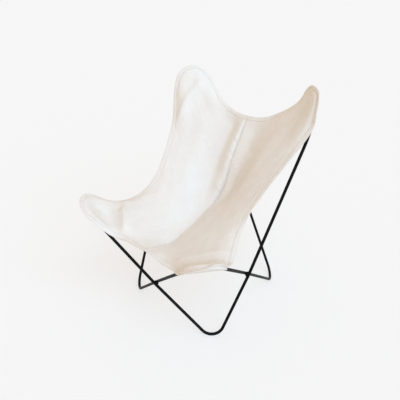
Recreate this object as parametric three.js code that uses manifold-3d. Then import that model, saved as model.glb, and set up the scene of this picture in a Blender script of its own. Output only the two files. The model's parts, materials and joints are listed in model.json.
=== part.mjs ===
// Butterfly sling chair: two bent steel rod loops, welded where they cross, carry a canvas sling
// whose four ears have pockets that slip over the upper bends of the loops.
// Millimetres, +Z up, the sitter faces -Y, the origin is on the floor under the middle of the chair.
import * as THREE from "three";
import { mergeVertices } from "three/addons/utils/BufferGeometryUtils.js";
import Module from "manifold-3d";

const wasm = await Module();
wasm.setup();

// Rod frame: corners are where the straight runs of rod would meet before they are bent
const ROD_DIAMETER = 12;
const FLOOR_BEND_RADIUS = 50;
const FRONT_EAR_BEND_RADIUS = 51;
const REAR_EAR_BEND_RADIUS = 58;
const SHOULDER_BEND_RADIUS = 260;
const CROSSING_BEND_RADIUS = 400;
const FRONT_FOOT_SPREAD = 240;
const FRONT_FOOT_Y = -187;
const REAR_FOOT_SPREAD = 200;
const REAR_FOOT_Y = 286;
const FRONT_EAR_SPREAD = 352;
const FRONT_EAR_Y = -370;
const FRONT_EAR_HEIGHT = 528;
const OUTER_SHOULDER_SPREAD = 328;
const OUTER_SHOULDER_Y = 226;
const OUTER_SHOULDER_DROP = 302;
const INNER_SHOULDER_SPREAD = 230;
const INNER_SHOULDER_Y = 346;
const INNER_SHOULDER_DROP = 279;
const REAR_EAR_SPREAD = 345;
const REAR_EAR_Y = 283;
const REAR_EAR_HEIGHT = 1040;
const FLOOR_FLAT_DEPTH = 0.4;
const WELD_WEB = 1.4;
const WELD_RADIUS = 10;
const WELD_HEIGHT = 6;

// Canvas sling
const CANVAS = 2;
const POCKET_CANVAS = 1.6;
const TAPE_CANVAS = 1.4;
const FRONT_EAR_CLOTH_RADIUS = 86;
const FRONT_TIP_MARGIN = 25;
const REAR_EAR_CLOTH_RADIUS = 81;
const REAR_TIP_MARGIN = 23;
const FRONT_EDGE_Y = -306;
const FRONT_EDGE_HEIGHT = 375;
const TOP_EDGE_Y = 300;
const TOP_EDGE_HEIGHT = 730;
const WAIST_SPREAD = 257;
const WAIST_Y = 25;
const WAIST_HEIGHT = 526;
const SEAT_LOW_Y = -110;
const SEAT_LOW_HEIGHT = 330;
const SEAT_BEND_Y = 125;
const SEAT_BEND_HEIGHT = 428;
const BACK_HOLLOW_Y = 200;
const BACK_HOLLOW_HEIGHT = 570;
const POCKET_REACH = 150;
const POCKET_SEAM = 3;
const FACING_WIDTH = 23;
const SEAM_TAPE_WIDTH = 30;
const SEAT_FULLNESS = 4;
const BACK_FULLNESS = 9;
const FULLNESS_OUT = 45;
const EAR_FOLD_HEIGHT = 8;
const EAR_FOLD_DOWN = 180;
const EAR_FOLD_WIDTH = 30;
// Shares of the way from the front edge to the top edge: the back starts in this span, and folds
// along the seam fade over the last share at both ends
const BACK_STARTS = 0.45;
const BACK_FULLY = 0.65;
const FOLD_FADE = 0.1;

// Clearance that touching pieces keep
const CLEARANCE = 0.3;

// How the sling's edges leave the ears: the angle round the ear's tip, and the length of each
// curve's pull towards the next ear
const FRONT_EDGE_LEAVES = THREE.MathUtils.degToRad(78);
const FRONT_EDGE_PULL = 155;
const FRONT_EDGE_FLAT = 188;
const TOP_EDGE_LEAVES = THREE.MathUtils.degToRad(33);
const TOP_EDGE_PULL = 75;
const TOP_EDGE_FLAT = 169;
const SIDE_LEAVES_REAR = THREE.MathUtils.degToRad(62);
const SIDE_REAR_PULL = 123;
const SIDE_LEAVES_FRONT = THREE.MathUtils.degToRad(73);
const SIDE_FRONT_PULL = 127;
const WAIST_DIRECTION = new THREE.Vector3(-0.2, -0.68, -0.71).normalize();
const WAIST_REAR_PULL = 313;
const WAIST_FRONT_PULL = 146;

// Smoothness of the surfaces
const ROD_SIDES = 12;
const BEND_STEP = THREE.MathUtils.degToRad(14);
const FILM_ACROSS = 28;
const FILM_ALONG = 76;
const FILM_PASSES = 300;
const FILM_OVERSHOOT = 1.8;
const PANEL_ACROSS = 14;
const PANEL_ALONG = 38;
const POCKET_DOWN = 10;
const POCKET_ACROSS = 16;
const POCKET_RIM_STEPS = 4;
const POCKET_RIM_STEP = 6;
const WELD_SIDES = 14;
const OUTLINE_STEPS = 200;
const FLOOR_SEARCH_STEPS = 40;
const MERGE_DISTANCE = 1e-3;

const rodRadius = ROD_DIAMETER / 2;
const seamHalfGap = CLEARANCE / 2;

const steel = new THREE.MeshStandardMaterial({ color: 0x17181a, roughness: 0.45, metalness: 0.5 });
const weldMetal = new THREE.MeshStandardMaterial({ color: 0x1d1e20, roughness: 0.6, metalness: 0.5 });
const canvas = new THREE.MeshStandardMaterial({ color: 0xece5d8, roughness: 0.95, metalness: 0 });
const pocketCanvas = new THREE.MeshStandardMaterial({ color: 0xe8e1d3, roughness: 0.95, metalness: 0 });
const tape = new THREE.MeshStandardMaterial({ color: 0xe3dccd, roughness: 0.95, metalness: 0 });

const chair = new THREE.Group();
const pieces = new THREE.Group();
chair.add(pieces);

function addPiece(name, geometry, material) {
  const mesh = new THREE.Mesh(geometry, material);
  mesh.name = name;
  pieces.add(mesh);
}

function point(x, y, z) {
  return new THREE.Vector3(x, y, z);
}

function mirrored(p) {
  return point(-p.x, p.y, p.z);
}

// Solids for cutting

function solidOf(geometry) {
  const bare = geometry.index ? geometry.toNonIndexed() : geometry.clone();
  bare.deleteAttribute("normal");
  bare.deleteAttribute("uv");
  const merged = mergeVertices(bare, MERGE_DISTANCE);
  return new wasm.Manifold(
    new wasm.Mesh({
      numProp: 3,
      vertProperties: merged.attributes.position.array,
      triVerts: new Uint32Array(merged.index.array),
    }),
  );
}

function geometryOf(solid) {
  const mesh = solid.getMesh();
  const geometry = new THREE.BufferGeometry();
  geometry.setAttribute("position", new THREE.BufferAttribute(mesh.vertProperties, 3));
  geometry.setIndex(new THREE.BufferAttribute(mesh.triVerts, 1));
  geometry.computeVertexNormals();
  return geometry;
}

// Bent rod

// The circle that rounds a corner, with directions to its tip and to its start
function bendFrame(before, corner, after, radius) {
  const back = before.clone().sub(corner).normalize();
  const on = after.clone().sub(corner).normalize();
  const half = back.angleTo(on) / 2;
  const inward = back.clone().add(on).normalize();
  const centre = corner.clone().addScaledVector(inward, radius / Math.sin(half));
  const tip = inward.clone().negate();
  const start = back.clone().sub(on).normalize();
  return { centre, tip, start, radius, reach: Math.PI / 2 - half };
}

function onBend(bend, angle) {
  return bend.centre
    .clone()
    .addScaledVector(bend.tip, bend.radius * Math.cos(angle))
    .addScaledVector(bend.start, bend.radius * Math.sin(angle));
}

function bendPoints(bend) {
  const steps = 2 * Math.max(1, Math.ceil(bend.reach / BEND_STEP));
  const points = [];
  for (let i = 0; i <= steps; i++) {
    points.push(onBend(bend, bend.reach * (1 - (2 * i) / steps)));
  }
  return points;
}

// A path through points, with one step from each point to the next
class RodPath extends THREE.Curve {
  constructor(points) {
    super();
    this.points = points;
  }
  getUtoTmapping(u) {
    return u;
  }
  getPoint(t, target = new THREE.Vector3()) {
    const place = t * (this.points.length - 1);
    const index = Math.min(Math.floor(place), this.points.length - 2);
    return target.lerpVectors(this.points[index], this.points[index + 1], place - index);
  }
}

function rodGeometry(points) {
  const section = new THREE.Shape().absarc(0, 0, rodRadius, 0, 2 * Math.PI);
  return new THREE.ExtrudeGeometry(section, {
    steps: points.length - 1,
    curveSegments: ROD_SIDES / 2,
    bevelEnabled: false,
    extrudePath: new RodPath(points),
  });
}

// The points of two lines that lie closest to each other
function closestPoints(a0, a1, b0, b1) {
  const a = a1.clone().sub(a0);
  const b = b1.clone().sub(b0);
  const between = b0.clone().sub(a0);
  const normal = a.clone().cross(b);
  const scale = normal.lengthSq();
  const alongA = between.clone().cross(b).dot(normal) / scale;
  const alongB = between.clone().cross(a).dot(normal) / scale;
  return [a0.clone().addScaledVector(a, alongA), b0.clone().addScaledVector(b, alongB), normal.normalize()];
}

// A floor corner whose bend just reaches the floor, less the flat that is worn on it
function floorCorner(x, y, before, after) {
  const target = rodRadius - FLOOR_FLAT_DEPTH;
  let low = -2 * FLOOR_BEND_RADIUS;
  let high = 2 * FLOOR_BEND_RADIUS;
  for (let i = 0; i < FLOOR_SEARCH_STEPS; i++) {
    const middle = (low + high) / 2;
    const bend = bendFrame(before, point(x, y, middle), after, FLOOR_BEND_RADIUS);
    const lowest = bend.centre.z - bend.radius * Math.hypot(bend.tip.z, bend.start.z);
    if (lowest > target) high = middle;
    else low = middle;
  }
  return point(x, y, (low + high) / 2);
}

// The corners of the loop with its front ear on the right (-X) and its rear ear on the left (+X).
// The other loop is its mirror image.
const frontEarRight = point(-FRONT_EAR_SPREAD, FRONT_EAR_Y, FRONT_EAR_HEIGHT);
const outerShoulderHeight = REAR_EAR_HEIGHT - OUTER_SHOULDER_DROP;
const innerShoulderHeight = REAR_EAR_HEIGHT - INNER_SHOULDER_DROP;
const outerShoulder = point(OUTER_SHOULDER_SPREAD, OUTER_SHOULDER_Y, outerShoulderHeight);
const rearEarLeft = point(REAR_EAR_SPREAD, REAR_EAR_Y, REAR_EAR_HEIGHT);
const innerShoulder = point(INNER_SHOULDER_SPREAD, INNER_SHOULDER_Y, innerShoulderHeight);
const frontFoot = floorCorner(FRONT_FOOT_SPREAD, FRONT_FOOT_Y, frontEarRight, outerShoulder);
const rearFoot = floorCorner(-REAR_FOOT_SPREAD, REAR_FOOT_Y, innerShoulder, frontEarRight);

// Where the two loops cross, their rods pass side by side with the weld between them
const rodPitch = ROD_DIAMETER + WELD_WEB + 2 * CLEARANCE;

function crossing(ownFrom, ownTo, otherFrom, otherTo, side) {
  const [own, other, normal] = closestPoints(ownFrom, ownTo, otherFrom, otherTo);
  if (normal.dot(side) < 0) normal.negate();
  const middle = own.add(other).multiplyScalar(0.5);
  return [
    middle.clone().addScaledVector(normal, rodPitch / 2),
    middle.clone().addScaledVector(normal, -rodPitch / 2),
  ];
}

const forward = point(0, -1, 0);
const rearward = point(0, 1, 0);
const outwardLeft = point(1, 0, 0);
const [frontNear, frontFar] = crossing(
  frontEarRight,
  frontFoot,
  mirrored(frontEarRight),
  mirrored(frontFoot),
  forward,
);
const [rearFar, rearNear] = crossing(
  innerShoulder,
  rearFoot,
  mirrored(innerShoulder),
  mirrored(rearFoot),
  rearward,
);
const [sideOuter, sideInner] = crossing(
  frontFoot,
  outerShoulder,
  mirrored(rearFoot),
  mirrored(frontEarRight),
  outwardLeft,
);

// Corners of a loop in order, from the front ear round by the front foot
function loopCorners(frontCross, rearCross) {
  const rightCross = mirrored(sideInner);
  return {
    earFront: [frontEarRight, FRONT_EAR_BEND_RADIUS],
    crossFront: [frontCross, CROSSING_BEND_RADIUS],
    footFront: [floorCorner(frontFoot.x, frontFoot.y, frontCross, sideOuter), FLOOR_BEND_RADIUS],
    crossOuter: [sideOuter, CROSSING_BEND_RADIUS],
    shoulderOuter: [outerShoulder, SHOULDER_BEND_RADIUS],
    earRear: [rearEarLeft, REAR_EAR_BEND_RADIUS],
    shoulderInner: [innerShoulder, SHOULDER_BEND_RADIUS],
    crossRear: [rearCross, CROSSING_BEND_RADIUS],
    footRear: [floorCorner(rearFoot.x, rearFoot.y, rearCross, rightCross), FLOOR_BEND_RADIUS],
    crossInner: [rightCross, CROSSING_BEND_RADIUS],
  };
}

function loopBends(corners) {
  const names = Object.keys(corners);
  const bends = {};
  names.forEach((name, i) => {
    const [corner, radius] = corners[name];
    const [before] = corners[names.at(i - 1)];
    const [after] = corners[names[(i + 1) % names.length]];
    bends[name] = bendFrame(before, corner, after, radius);
  });
  return bends;
}

const bendsRight = loopBends(loopCorners(frontNear, rearFar));
const bendsLeft = loopBends(loopCorners(mirrored(frontFar), mirrored(rearNear)));

// The rod's ends meet in a butt joint under the front ear's pocket
function loopGeometry(bends, flip) {
  const { earFront, ...others } = bends;
  const ear = bendPoints(earFront);
  const half = (ear.length - 1) / 2;
  const points = ear.slice(half);
  for (const bend of Object.values(others)) points.push(...bendPoints(bend));
  points.push(...ear.slice(0, half + 1));
  const last = points.length - 1;
  const end = points[last].clone().sub(points[last - 1]);
  points[last] = points[last - 1].clone().addScaledVector(end, 1 - CLEARANCE / end.length());
  const rod = solidOf(rodGeometry(flip ? points.map(mirrored) : points));
  const floorSide = 4 * FRONT_FOOT_SPREAD;
  const floor = new THREE.BoxGeometry(floorSide, floorSide, ROD_DIAMETER);
  floor.translate(0, 0, -rodRadius);
  return geometryOf(rod.subtract(solidOf(floor)));
}

addPiece("rod_loop_right", loopGeometry(bendsRight, false), steel);
addPiece("rod_loop_left", loopGeometry(bendsLeft, true), steel);

// A weld fills the corner between two crossing rods and keeps clear of both
function weldGeometry(bendA, bendB) {
  const grooveSides = 2 * ROD_SIDES;
  const grooveRadius = (rodRadius + CLEARANCE) / Math.cos(Math.PI / grooveSides);
  const grooveLength = 6 * WELD_RADIUS;
  const a = onBend(bendA, 0);
  const b = onBend(bendB, 0);
  const normal = a.clone().sub(b).normalize();
  const turn = new THREE.Quaternion().setFromUnitVectors(point(0, 0, 1), normal);
  const blob = new THREE.SphereGeometry(1, WELD_SIDES, WELD_SIDES / 2);
  blob.scale(WELD_RADIUS, WELD_RADIUS, WELD_HEIGHT);
  blob.applyQuaternion(turn);
  blob.translate(...a.clone().add(b).multiplyScalar(0.5));
  let weld = solidOf(blob);
  for (const [place, bend] of [[a, bendA], [b, bendB]]) {
    const groove = new THREE.CylinderGeometry(grooveRadius, grooveRadius, grooveLength, grooveSides);
    groove.applyQuaternion(new THREE.Quaternion().setFromUnitVectors(point(0, 1, 0), bend.start));
    groove.translate(...place);
    weld = weld.subtract(solidOf(groove));
  }
  return geometryOf(weld);
}

function flippedBend(bend) {
  return {
    ...bend,
    centre: mirrored(bend.centre),
    tip: mirrored(bend.tip),
    start: mirrored(bend.start),
  };
}

function addWeld(name, onRightLoop, onLeftLoop) {
  addPiece(name, weldGeometry(bendsRight[onRightLoop], flippedBend(bendsLeft[onLeftLoop])), weldMetal);
}

addWeld("weld_front", "crossFront", "crossFront");
addWeld("weld_rear", "crossRear", "crossRear");
addWeld("weld_left", "crossOuter", "crossInner");
addWeld("weld_right", "crossInner", "crossOuter");

// Sling: the left half is drawn, the right half is its mirror image

// An ear of the left half lies on the inner side of its rod bend, its cloth reaching past the rod
function earOf(bend, clothRadius, margin, inner) {
  const normal = bend.tip.clone().cross(bend.start).normalize();
  if (normal.dot(inner) < 0) normal.negate();
  const cover = rodRadius + CLEARANCE + CANVAS / 2;
  const centre = bend.centre
    .clone()
    .addScaledVector(normal, cover)
    .addScaledVector(bend.tip, bend.radius + margin - clothRadius);
  return { ...bend, rodCentre: bend.centre, centre, normal, radius: clothRadius };
}

const upAndIn = point(-1, 0.5, 1);
const forwardAndIn = point(-1, -1, 0);
const earFront = earOf(
  flippedBend(bendsRight.earFront),
  FRONT_EAR_CLOTH_RADIUS,
  FRONT_TIP_MARGIN,
  upAndIn,
);
const earRear = earOf(bendsRight.earRear, REAR_EAR_CLOTH_RADIUS, REAR_TIP_MARGIN, forwardAndIn);
// The front ear's start lies towards the seam, the rear ear's towards the side
if (earFront.start.x > 0) earFront.start.negate();
if (earRear.start.x < 0) earRear.start.negate();

class EarArc extends THREE.Curve {
  constructor(ear, from, to) {
    super();
    Object.assign(this, { ear, from, to });
  }
  getPoint(t) {
    return onBend(this.ear, THREE.MathUtils.lerp(this.from, this.to, t));
  }
}

// The direction in which the ear's edge runs at an angle, towards larger angles
function alongEar(ear, angle) {
  return ear.start
    .clone()
    .multiplyScalar(Math.cos(angle))
    .addScaledVector(ear.tip, -Math.sin(angle));
}

function joinedPath(...curves) {
  const path = new THREE.CurvePath();
  curves.forEach((curve) => path.add(curve));
  return path;
}

function pulled(from, direction, length) {
  return from.clone().addScaledVector(direction, length);
}

const frontCentre = point(seamHalfGap, FRONT_EDGE_Y, FRONT_EDGE_HEIGHT);
const topCentre = point(seamHalfGap, TOP_EDGE_Y, TOP_EDGE_HEIGHT);
const waist = point(WAIST_SPREAD, WAIST_Y, WAIST_HEIGHT);

const frontLeave = onBend(earFront, FRONT_EDGE_LEAVES);
const frontEdge = joinedPath(
  new THREE.CubicBezierCurve3(
    frontCentre,
    frontCentre.clone().setX(FRONT_EDGE_FLAT),
    pulled(frontLeave, alongEar(earFront, FRONT_EDGE_LEAVES), FRONT_EDGE_PULL),
    frontLeave,
  ),
  new EarArc(earFront, FRONT_EDGE_LEAVES, 0),
);

const topLeave = onBend(earRear, -TOP_EDGE_LEAVES);
const topEdge = joinedPath(
  new THREE.CubicBezierCurve3(
    topCentre,
    topCentre.clone().setX(TOP_EDGE_FLAT),
    pulled(topLeave, alongEar(earRear, -TOP_EDGE_LEAVES), -TOP_EDGE_PULL),
    topLeave,
  ),
  new EarArc(earRear, -TOP_EDGE_LEAVES, 0),
);

const sideFrontLeave = onBend(earFront, -SIDE_LEAVES_FRONT);
const sideRearLeave = onBend(earRear, SIDE_LEAVES_REAR);
const sideEdge = joinedPath(
  new EarArc(earFront, 0, -SIDE_LEAVES_FRONT),
  new THREE.CubicBezierCurve3(
    sideFrontLeave,
    pulled(sideFrontLeave, alongEar(earFront, -SIDE_LEAVES_FRONT), -SIDE_FRONT_PULL),
    pulled(waist, WAIST_DIRECTION, WAIST_FRONT_PULL),
    waist,
  ),
  new THREE.CubicBezierCurve3(
    waist,
    pulled(waist, WAIST_DIRECTION, -WAIST_REAR_PULL),
    pulled(sideRearLeave, alongEar(earRear, SIDE_LEAVES_REAR), SIDE_REAR_PULL),
    sideRearLeave,
  ),
  new EarArc(earRear, SIDE_LEAVES_REAR, 0),
);

const centreLine = new THREE.CatmullRomCurve3(
  [
    frontCentre,
    point(seamHalfGap, SEAT_LOW_Y, SEAT_LOW_HEIGHT),
    point(seamHalfGap, SEAT_BEND_Y, SEAT_BEND_HEIGHT),
    point(seamHalfGap, BACK_HOLLOW_Y, BACK_HOLLOW_HEIGHT),
    topCentre,
  ],
  false,
  "centripetal",
);

// Cloth can lie on the rods of an ear but not go through them
function restOnEar(p, ear) {
  const down = -p.clone().sub(onBend(ear, 0)).dot(ear.tip);
  const height = p.clone().sub(ear.centre).dot(ear.normal);
  const near = 1 - THREE.MathUtils.smoothstep(down, 2 * POCKET_REACH, 3 * POCKET_REACH);
  const lift = Math.max(0, -height) * near;
  return p.addScaledVector(ear.normal, lift);
}

// A first form for the cloth: across runs from the seam to the outer edge, along from front to top
function edgeBlend(across, along) {
  const seam = centreLine.getPointAt(along);
  const side = sideEdge.getPoint(along);
  const front = frontEdge.getPoint(across);
  const top = topEdge.getPoint(across);
  const straight = seam.lerp(side, across);
  const ends = front.lerp(top, along);
  const tips = onBend(earFront, 0).lerp(onBend(earRear, 0), along);
  const middles = frontCentre.clone().lerp(topCentre, along);
  return straight.add(ends).sub(middles.lerp(tips, across));
}

// The cloth is pulled tight: each inner point settles in the middle of its neighbours
const film = [];
for (let i = 0; i <= FILM_ALONG; i++) {
  const row = [];
  for (let j = 0; j <= FILM_ACROSS; j++) row.push(edgeBlend(j / FILM_ACROSS, i / FILM_ALONG));
  film.push(row);
}
for (let pass = 0; pass < FILM_PASSES; pass++) {
  for (let i = 1; i < FILM_ALONG; i++) {
    for (let j = 1; j < FILM_ACROSS; j++) {
      const middle = film[i - 1][j].clone().add(film[i + 1][j]);
      middle.add(film[i][j - 1]).add(film[i][j + 1]).divideScalar(4);
      film[i][j].lerp(middle, FILM_OVERSHOOT);
      restOnEar(film[i][j], earFront);
      restOnEar(film[i][j], earRear);
    }
  }
}

function smoothPoint(across, along) {
  const row = Math.min(Math.floor(along * FILM_ALONG), FILM_ALONG - 1);
  const column = Math.min(Math.floor(across * FILM_ACROSS), FILM_ACROSS - 1);
  const down = along * FILM_ALONG - row;
  const out = across * FILM_ACROSS - column;
  const near = film[row][column].clone().lerp(film[row][column + 1], out);
  const far = film[row + 1][column].clone().lerp(film[row + 1][column + 1], out);
  return near.lerp(far, down);
}

// How far the cloth stands up from the tight form: it hangs full beside the tight seam, most of all
// on the back, and it folds where a front ear bends over
function foldHeight(across, along, p) {
  const out = (across * frontEdge.getLength()) / FULLNESS_OUT;
  const onBack = THREE.MathUtils.smoothstep(along, BACK_STARTS, BACK_FULLY);
  const inside = THREE.MathUtils.smoothstep(Math.min(along, 1 - along), 0, FOLD_FADE);
  const full = THREE.MathUtils.lerp(SEAT_FULLNESS, BACK_FULLNESS, onBack) * out * Math.exp(1 - out);
  const offTip = p.clone().sub(onBend(earFront, 0));
  const down = (-offTip.dot(earFront.tip) - EAR_FOLD_DOWN) / EAR_FOLD_WIDTH;
  const aside = offTip.dot(earFront.start) / EAR_FOLD_DOWN;
  const earFold = EAR_FOLD_HEIGHT * Math.exp(-down * down - aside * aside);
  return earFold - full * inside;
}

// The middle of the cloth with its folds
function clothPoint(across, along) {
  const p = smoothPoint(across, along);
  const step = 1 / FILM_ALONG;
  const outFrom = Math.max(across - step, 0);
  const outTo = Math.min(across + step, 1);
  const backFrom = Math.max(along - step, 0);
  const backTo = Math.min(along + step, 1);
  const out = smoothPoint(outTo, along).sub(smoothPoint(outFrom, along));
  const back = smoothPoint(across, backTo).sub(smoothPoint(across, backFrom));
  const normal = out.cross(back).normalize();
  if (across === 0) normal.setX(0);
  return p.addScaledVector(normal, foldHeight(across, along, p));
}

// The direction in which each point of a grid faces
function gridNormals(rows) {
  const sums = rows.map((row) => row.map(() => new THREE.Vector3()));
  for (let i = 0; i < rows.length - 1; i++) {
    for (let j = 0; j < rows[0].length - 1; j++) {
      const diagonal = rows[i + 1][j + 1].clone().sub(rows[i][j]);
      const other = rows[i + 1][j].clone().sub(rows[i][j + 1]);
      const normal = diagonal.cross(other);
      sums[i][j].add(normal);
      sums[i][j + 1].add(normal);
      sums[i + 1][j].add(normal);
      sums[i + 1][j + 1].add(normal);
    }
  }
  return sums.map((row) => row.map((sum) => sum.normalize()));
}

// A closed sheet from a grid of points in its middle, made thick to both sides
function sheetGeometry(rows, normals, thickness) {
  const last = rows.length - 1;
  const width = rows[0].length;
  const middle = rows.flat();
  const facing = normals.flat();
  const count = middle.length;
  const corner = (i, j) => i * width + j;
  const triangles = [];
  for (let i = 0; i < last; i++) {
    for (let j = 0; j < width - 1; j++) {
      const a = corner(i, j);
      const b = corner(i, j + 1);
      const c = corner(i + 1, j + 1);
      const d = corner(i + 1, j);
      triangles.push([a, b, c], [a, c, d]);
      triangles.push([count + a, count + c, count + b], [count + a, count + d, count + c]);
    }
  }
  const rim = [];
  for (let j = 0; j < width - 1; j++) rim.push(corner(0, j));
  for (let i = 0; i < last; i++) rim.push(corner(i, width - 1));
  for (let j = width - 1; j > 0; j--) rim.push(corner(last, j));
  for (let i = last; i > 0; i--) rim.push(corner(i, 0));
  rim.forEach((a, k) => {
    const b = rim[(k + 1) % rim.length];
    triangles.push([a, count + a, count + b], [a, count + b, b]);
  });
  const upper = middle.map((p, k) => pulled(p, facing[k], thickness / 2));
  const lower = middle.map((p, k) => pulled(p, facing[k], -thickness / 2));
  const all = [...upper, ...lower];
  const positions = [];
  for (const [a, b, c] of triangles) {
    const shortest = Math.min(
      all[a].distanceTo(all[b]),
      all[b].distanceTo(all[c]),
      all[c].distanceTo(all[a]),
    );
    if (shortest > 0) positions.push(...all[a], ...all[b], ...all[c]);
  }
  const geometry = new THREE.BufferGeometry();
  geometry.setAttribute("position", new THREE.Float32BufferAttribute(positions, 3));
  geometry.computeVertexNormals();
  return geometry;
}

function flipped(rows) {
  return rows.map((row) => row.map(mirrored).reverse());
}

// Both halves of a piece that is drawn for the left half
function addHalves(name, rows, normals, thickness, material) {
  addPiece(name + "_left", sheetGeometry(rows, normals, thickness), material);
  addPiece(name + "_right", sheetGeometry(flipped(rows), flipped(normals), thickness), material);
}

// One piece over both halves: the seam column is shared and lies in the middle
function addWhole(name, rows, normals, thickness, material) {
  const whole = (row) => {
    const middle = row[0].clone().setX(0);
    const left = row.slice(1);
    return [...left.map(mirrored).reverse(), middle, ...left];
  };
  addPiece(name, sheetGeometry(rows.map(whole), normals.map(whole), thickness), material);
}

// Shares of a span: a first step, even steps, and a last step
function stepsOf(count, first, last) {
  const shares = [0];
  for (let k = 0; k <= count - 2; k++) shares.push(first + ((1 - first - last) * k) / (count - 2));
  shares.push(1);
  return shares;
}

// The panels' grid lines run under the edges of the seam tape and of the facings
const halfWidth = frontEdge.getLength();
const sideLength = sideEdge.getLength();
const acrossSteps = stepsOf(PANEL_ACROSS, SEAM_TAPE_WIDTH / 2 / halfWidth, FACING_WIDTH / halfWidth);
const alongSteps = stepsOf(PANEL_ALONG, FACING_WIDTH / sideLength, FACING_WIDTH / sideLength);
const panelRows = alongSteps.map((along) => acrossSteps.map((across) => clothPoint(across, along)));
const panelNormals = gridNormals(panelRows);
panelNormals.forEach((row) => row[0].setX(0).normalize());
addHalves("sling_panel", panelRows, panelNormals, CANVAS, canvas);

// Strips sewn to the underside follow the panels' grid
const tapeDrop = CANVAS / 2 + CLEARANCE + TAPE_CANVAS / 2;
const stripRows = panelRows.map((row, i) => row.map((p, j) => pulled(p, panelNormals[i][j], -tapeDrop)));

function cut(grid, rowFrom, rowTo, columnFrom, columnTo) {
  return grid.slice(rowFrom, rowTo + 1).map((row) => row.slice(columnFrom, columnTo + 1));
}

const clearOfPocket = POCKET_REACH + FACING_WIDTH / 2;
const topLength = topEdge.getLength();
const frontColumns = acrossSteps.filter((across) => (1 - across) * halfWidth > clearOfPocket).length - 1;
const topColumns = acrossSteps.filter((across) => (1 - across) * topLength > clearOfPocket).length - 1;
const firstRow = alongSteps.findIndex((along) => along * sideLength > clearOfPocket);
const lastRow = PANEL_ALONG - firstRow;
addWhole(
  "facing_front",
  cut(stripRows, 0, 1, 0, frontColumns),
  cut(panelNormals, 0, 1, 0, frontColumns),
  TAPE_CANVAS,
  tape,
);
addWhole(
  "facing_top",
  cut(stripRows, PANEL_ALONG - 1, PANEL_ALONG, 0, topColumns),
  cut(panelNormals, PANEL_ALONG - 1, PANEL_ALONG, 0, topColumns),
  TAPE_CANVAS,
  tape,
);
addHalves(
  "facing",
  cut(stripRows, firstRow, lastRow, PANEL_ACROSS - 1, PANEL_ACROSS),
  cut(panelNormals, firstRow, lastRow, PANEL_ACROSS - 1, PANEL_ACROSS),
  TAPE_CANVAS,
  tape,
);

// The seam tape stops just short of the front and top facings
const tapeRows = cut(stripRows, 1, PANEL_ALONG - 1, 0, 1);
const tapeNormals = cut(panelNormals, 1, PANEL_ALONG - 1, 0, 1);

function shorten(end, next) {
  end.forEach((p, j) => {
    const gap = p.distanceTo(next[j]);
    p.lerp(next[j], (2 * CLEARANCE) / gap);
  });
}

shorten(tapeRows[0], tapeRows[1]);
shorten(tapeRows[tapeRows.length - 1], tapeRows[tapeRows.length - 2]);
addWhole("seam_tape", tapeRows, tapeNormals, TAPE_CANVAS, tape);

// Points of the half sling's outline, for measuring how far a place lies from the edge
const outline = [frontEdge, sideEdge, topEdge].flatMap((edge) => edge.getSpacedPoints(OUTLINE_STEPS));

function fromEdge(p) {
  return Math.min(...outline.map((q) => q.distanceTo(p)));
}

// Shares of a row across a pocket, closer together near both of its ends
function pocketShare(j, length) {
  if (2 * j > POCKET_ACROSS) return 1 - pocketShare(POCKET_ACROSS - j, length);
  const even = j / POCKET_ACROSS;
  const rim = POCKET_RIM_STEP / length;
  if (rim > 1 / POCKET_ACROSS) return even;
  if (j <= POCKET_RIM_STEPS) return j * rim;
  const rest = (j - POCKET_RIM_STEPS) / (POCKET_ACROSS / 2 - POCKET_RIM_STEPS);
  return THREE.MathUtils.lerp(POCKET_RIM_STEPS * rim, 0.5, rest);
}

// A pocket lies on the outer side of the rod, and its rim is sewn to the ear's edge
function addPockets(name, ear, edge, margin, atRear) {
  const alongReach = POCKET_REACH / sideLength;
  const acrossReach = POCKET_REACH / edge.getLength();
  const rimDrop = CANVAS / 2 + 2 * CLEARANCE + POCKET_CANVAS / 2;
  const outside = rodRadius + CLEARANCE + POCKET_CANVAS / 2;
  const slopeEnd = margin - rodRadius - CANVAS;
  const at = (down, share) => {
    const side = down * alongReach * share;
    return clothPoint(1 - down * acrossReach * (1 - share), atRear ? 1 - side : side);
  };
  const rows = [];
  for (let i = 0; i <= POCKET_DOWN; i++) {
    const down = i / POCKET_DOWN;
    const length = at(down, 0).distanceTo(at(down, 1));
    const row = [];
    for (let j = 0; j <= POCKET_ACROSS; j++) {
      const p = at(down, pocketShare(j, length));
      const inside = THREE.MathUtils.smoothstep(fromEdge(p), POCKET_SEAM, slopeEnd);
      const height = p.clone().sub(ear.rodCentre).dot(ear.normal);
      row.push(pulled(p, ear.normal, -THREE.MathUtils.lerp(rimDrop, height + outside, inside)));
    }
    rows.push(atRear ? row.reverse() : row);
  }
  const normals = rows.map((row) => row.map(() => ear.normal));
  addHalves(name, rows, normals, POCKET_CANVAS, pocketCanvas);
}

addPockets("pocket_front", earFront, frontEdge, FRONT_TIP_MARGIN, false);
addPockets("pocket_rear", earRear, topEdge, REAR_TIP_MARGIN, true);

// The origin lies under the middle of the chair's depth
const box = new THREE.Box3().setFromObject(pieces);
pieces.position.y = -(box.min.y + box.max.y) / 2;

export default chair;
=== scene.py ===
import json
import math

import bpy
import numpy as np
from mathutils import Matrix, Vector
from mathutils.bvhtree import BVHTree
from mathutils.kdtree import KDTree

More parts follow.
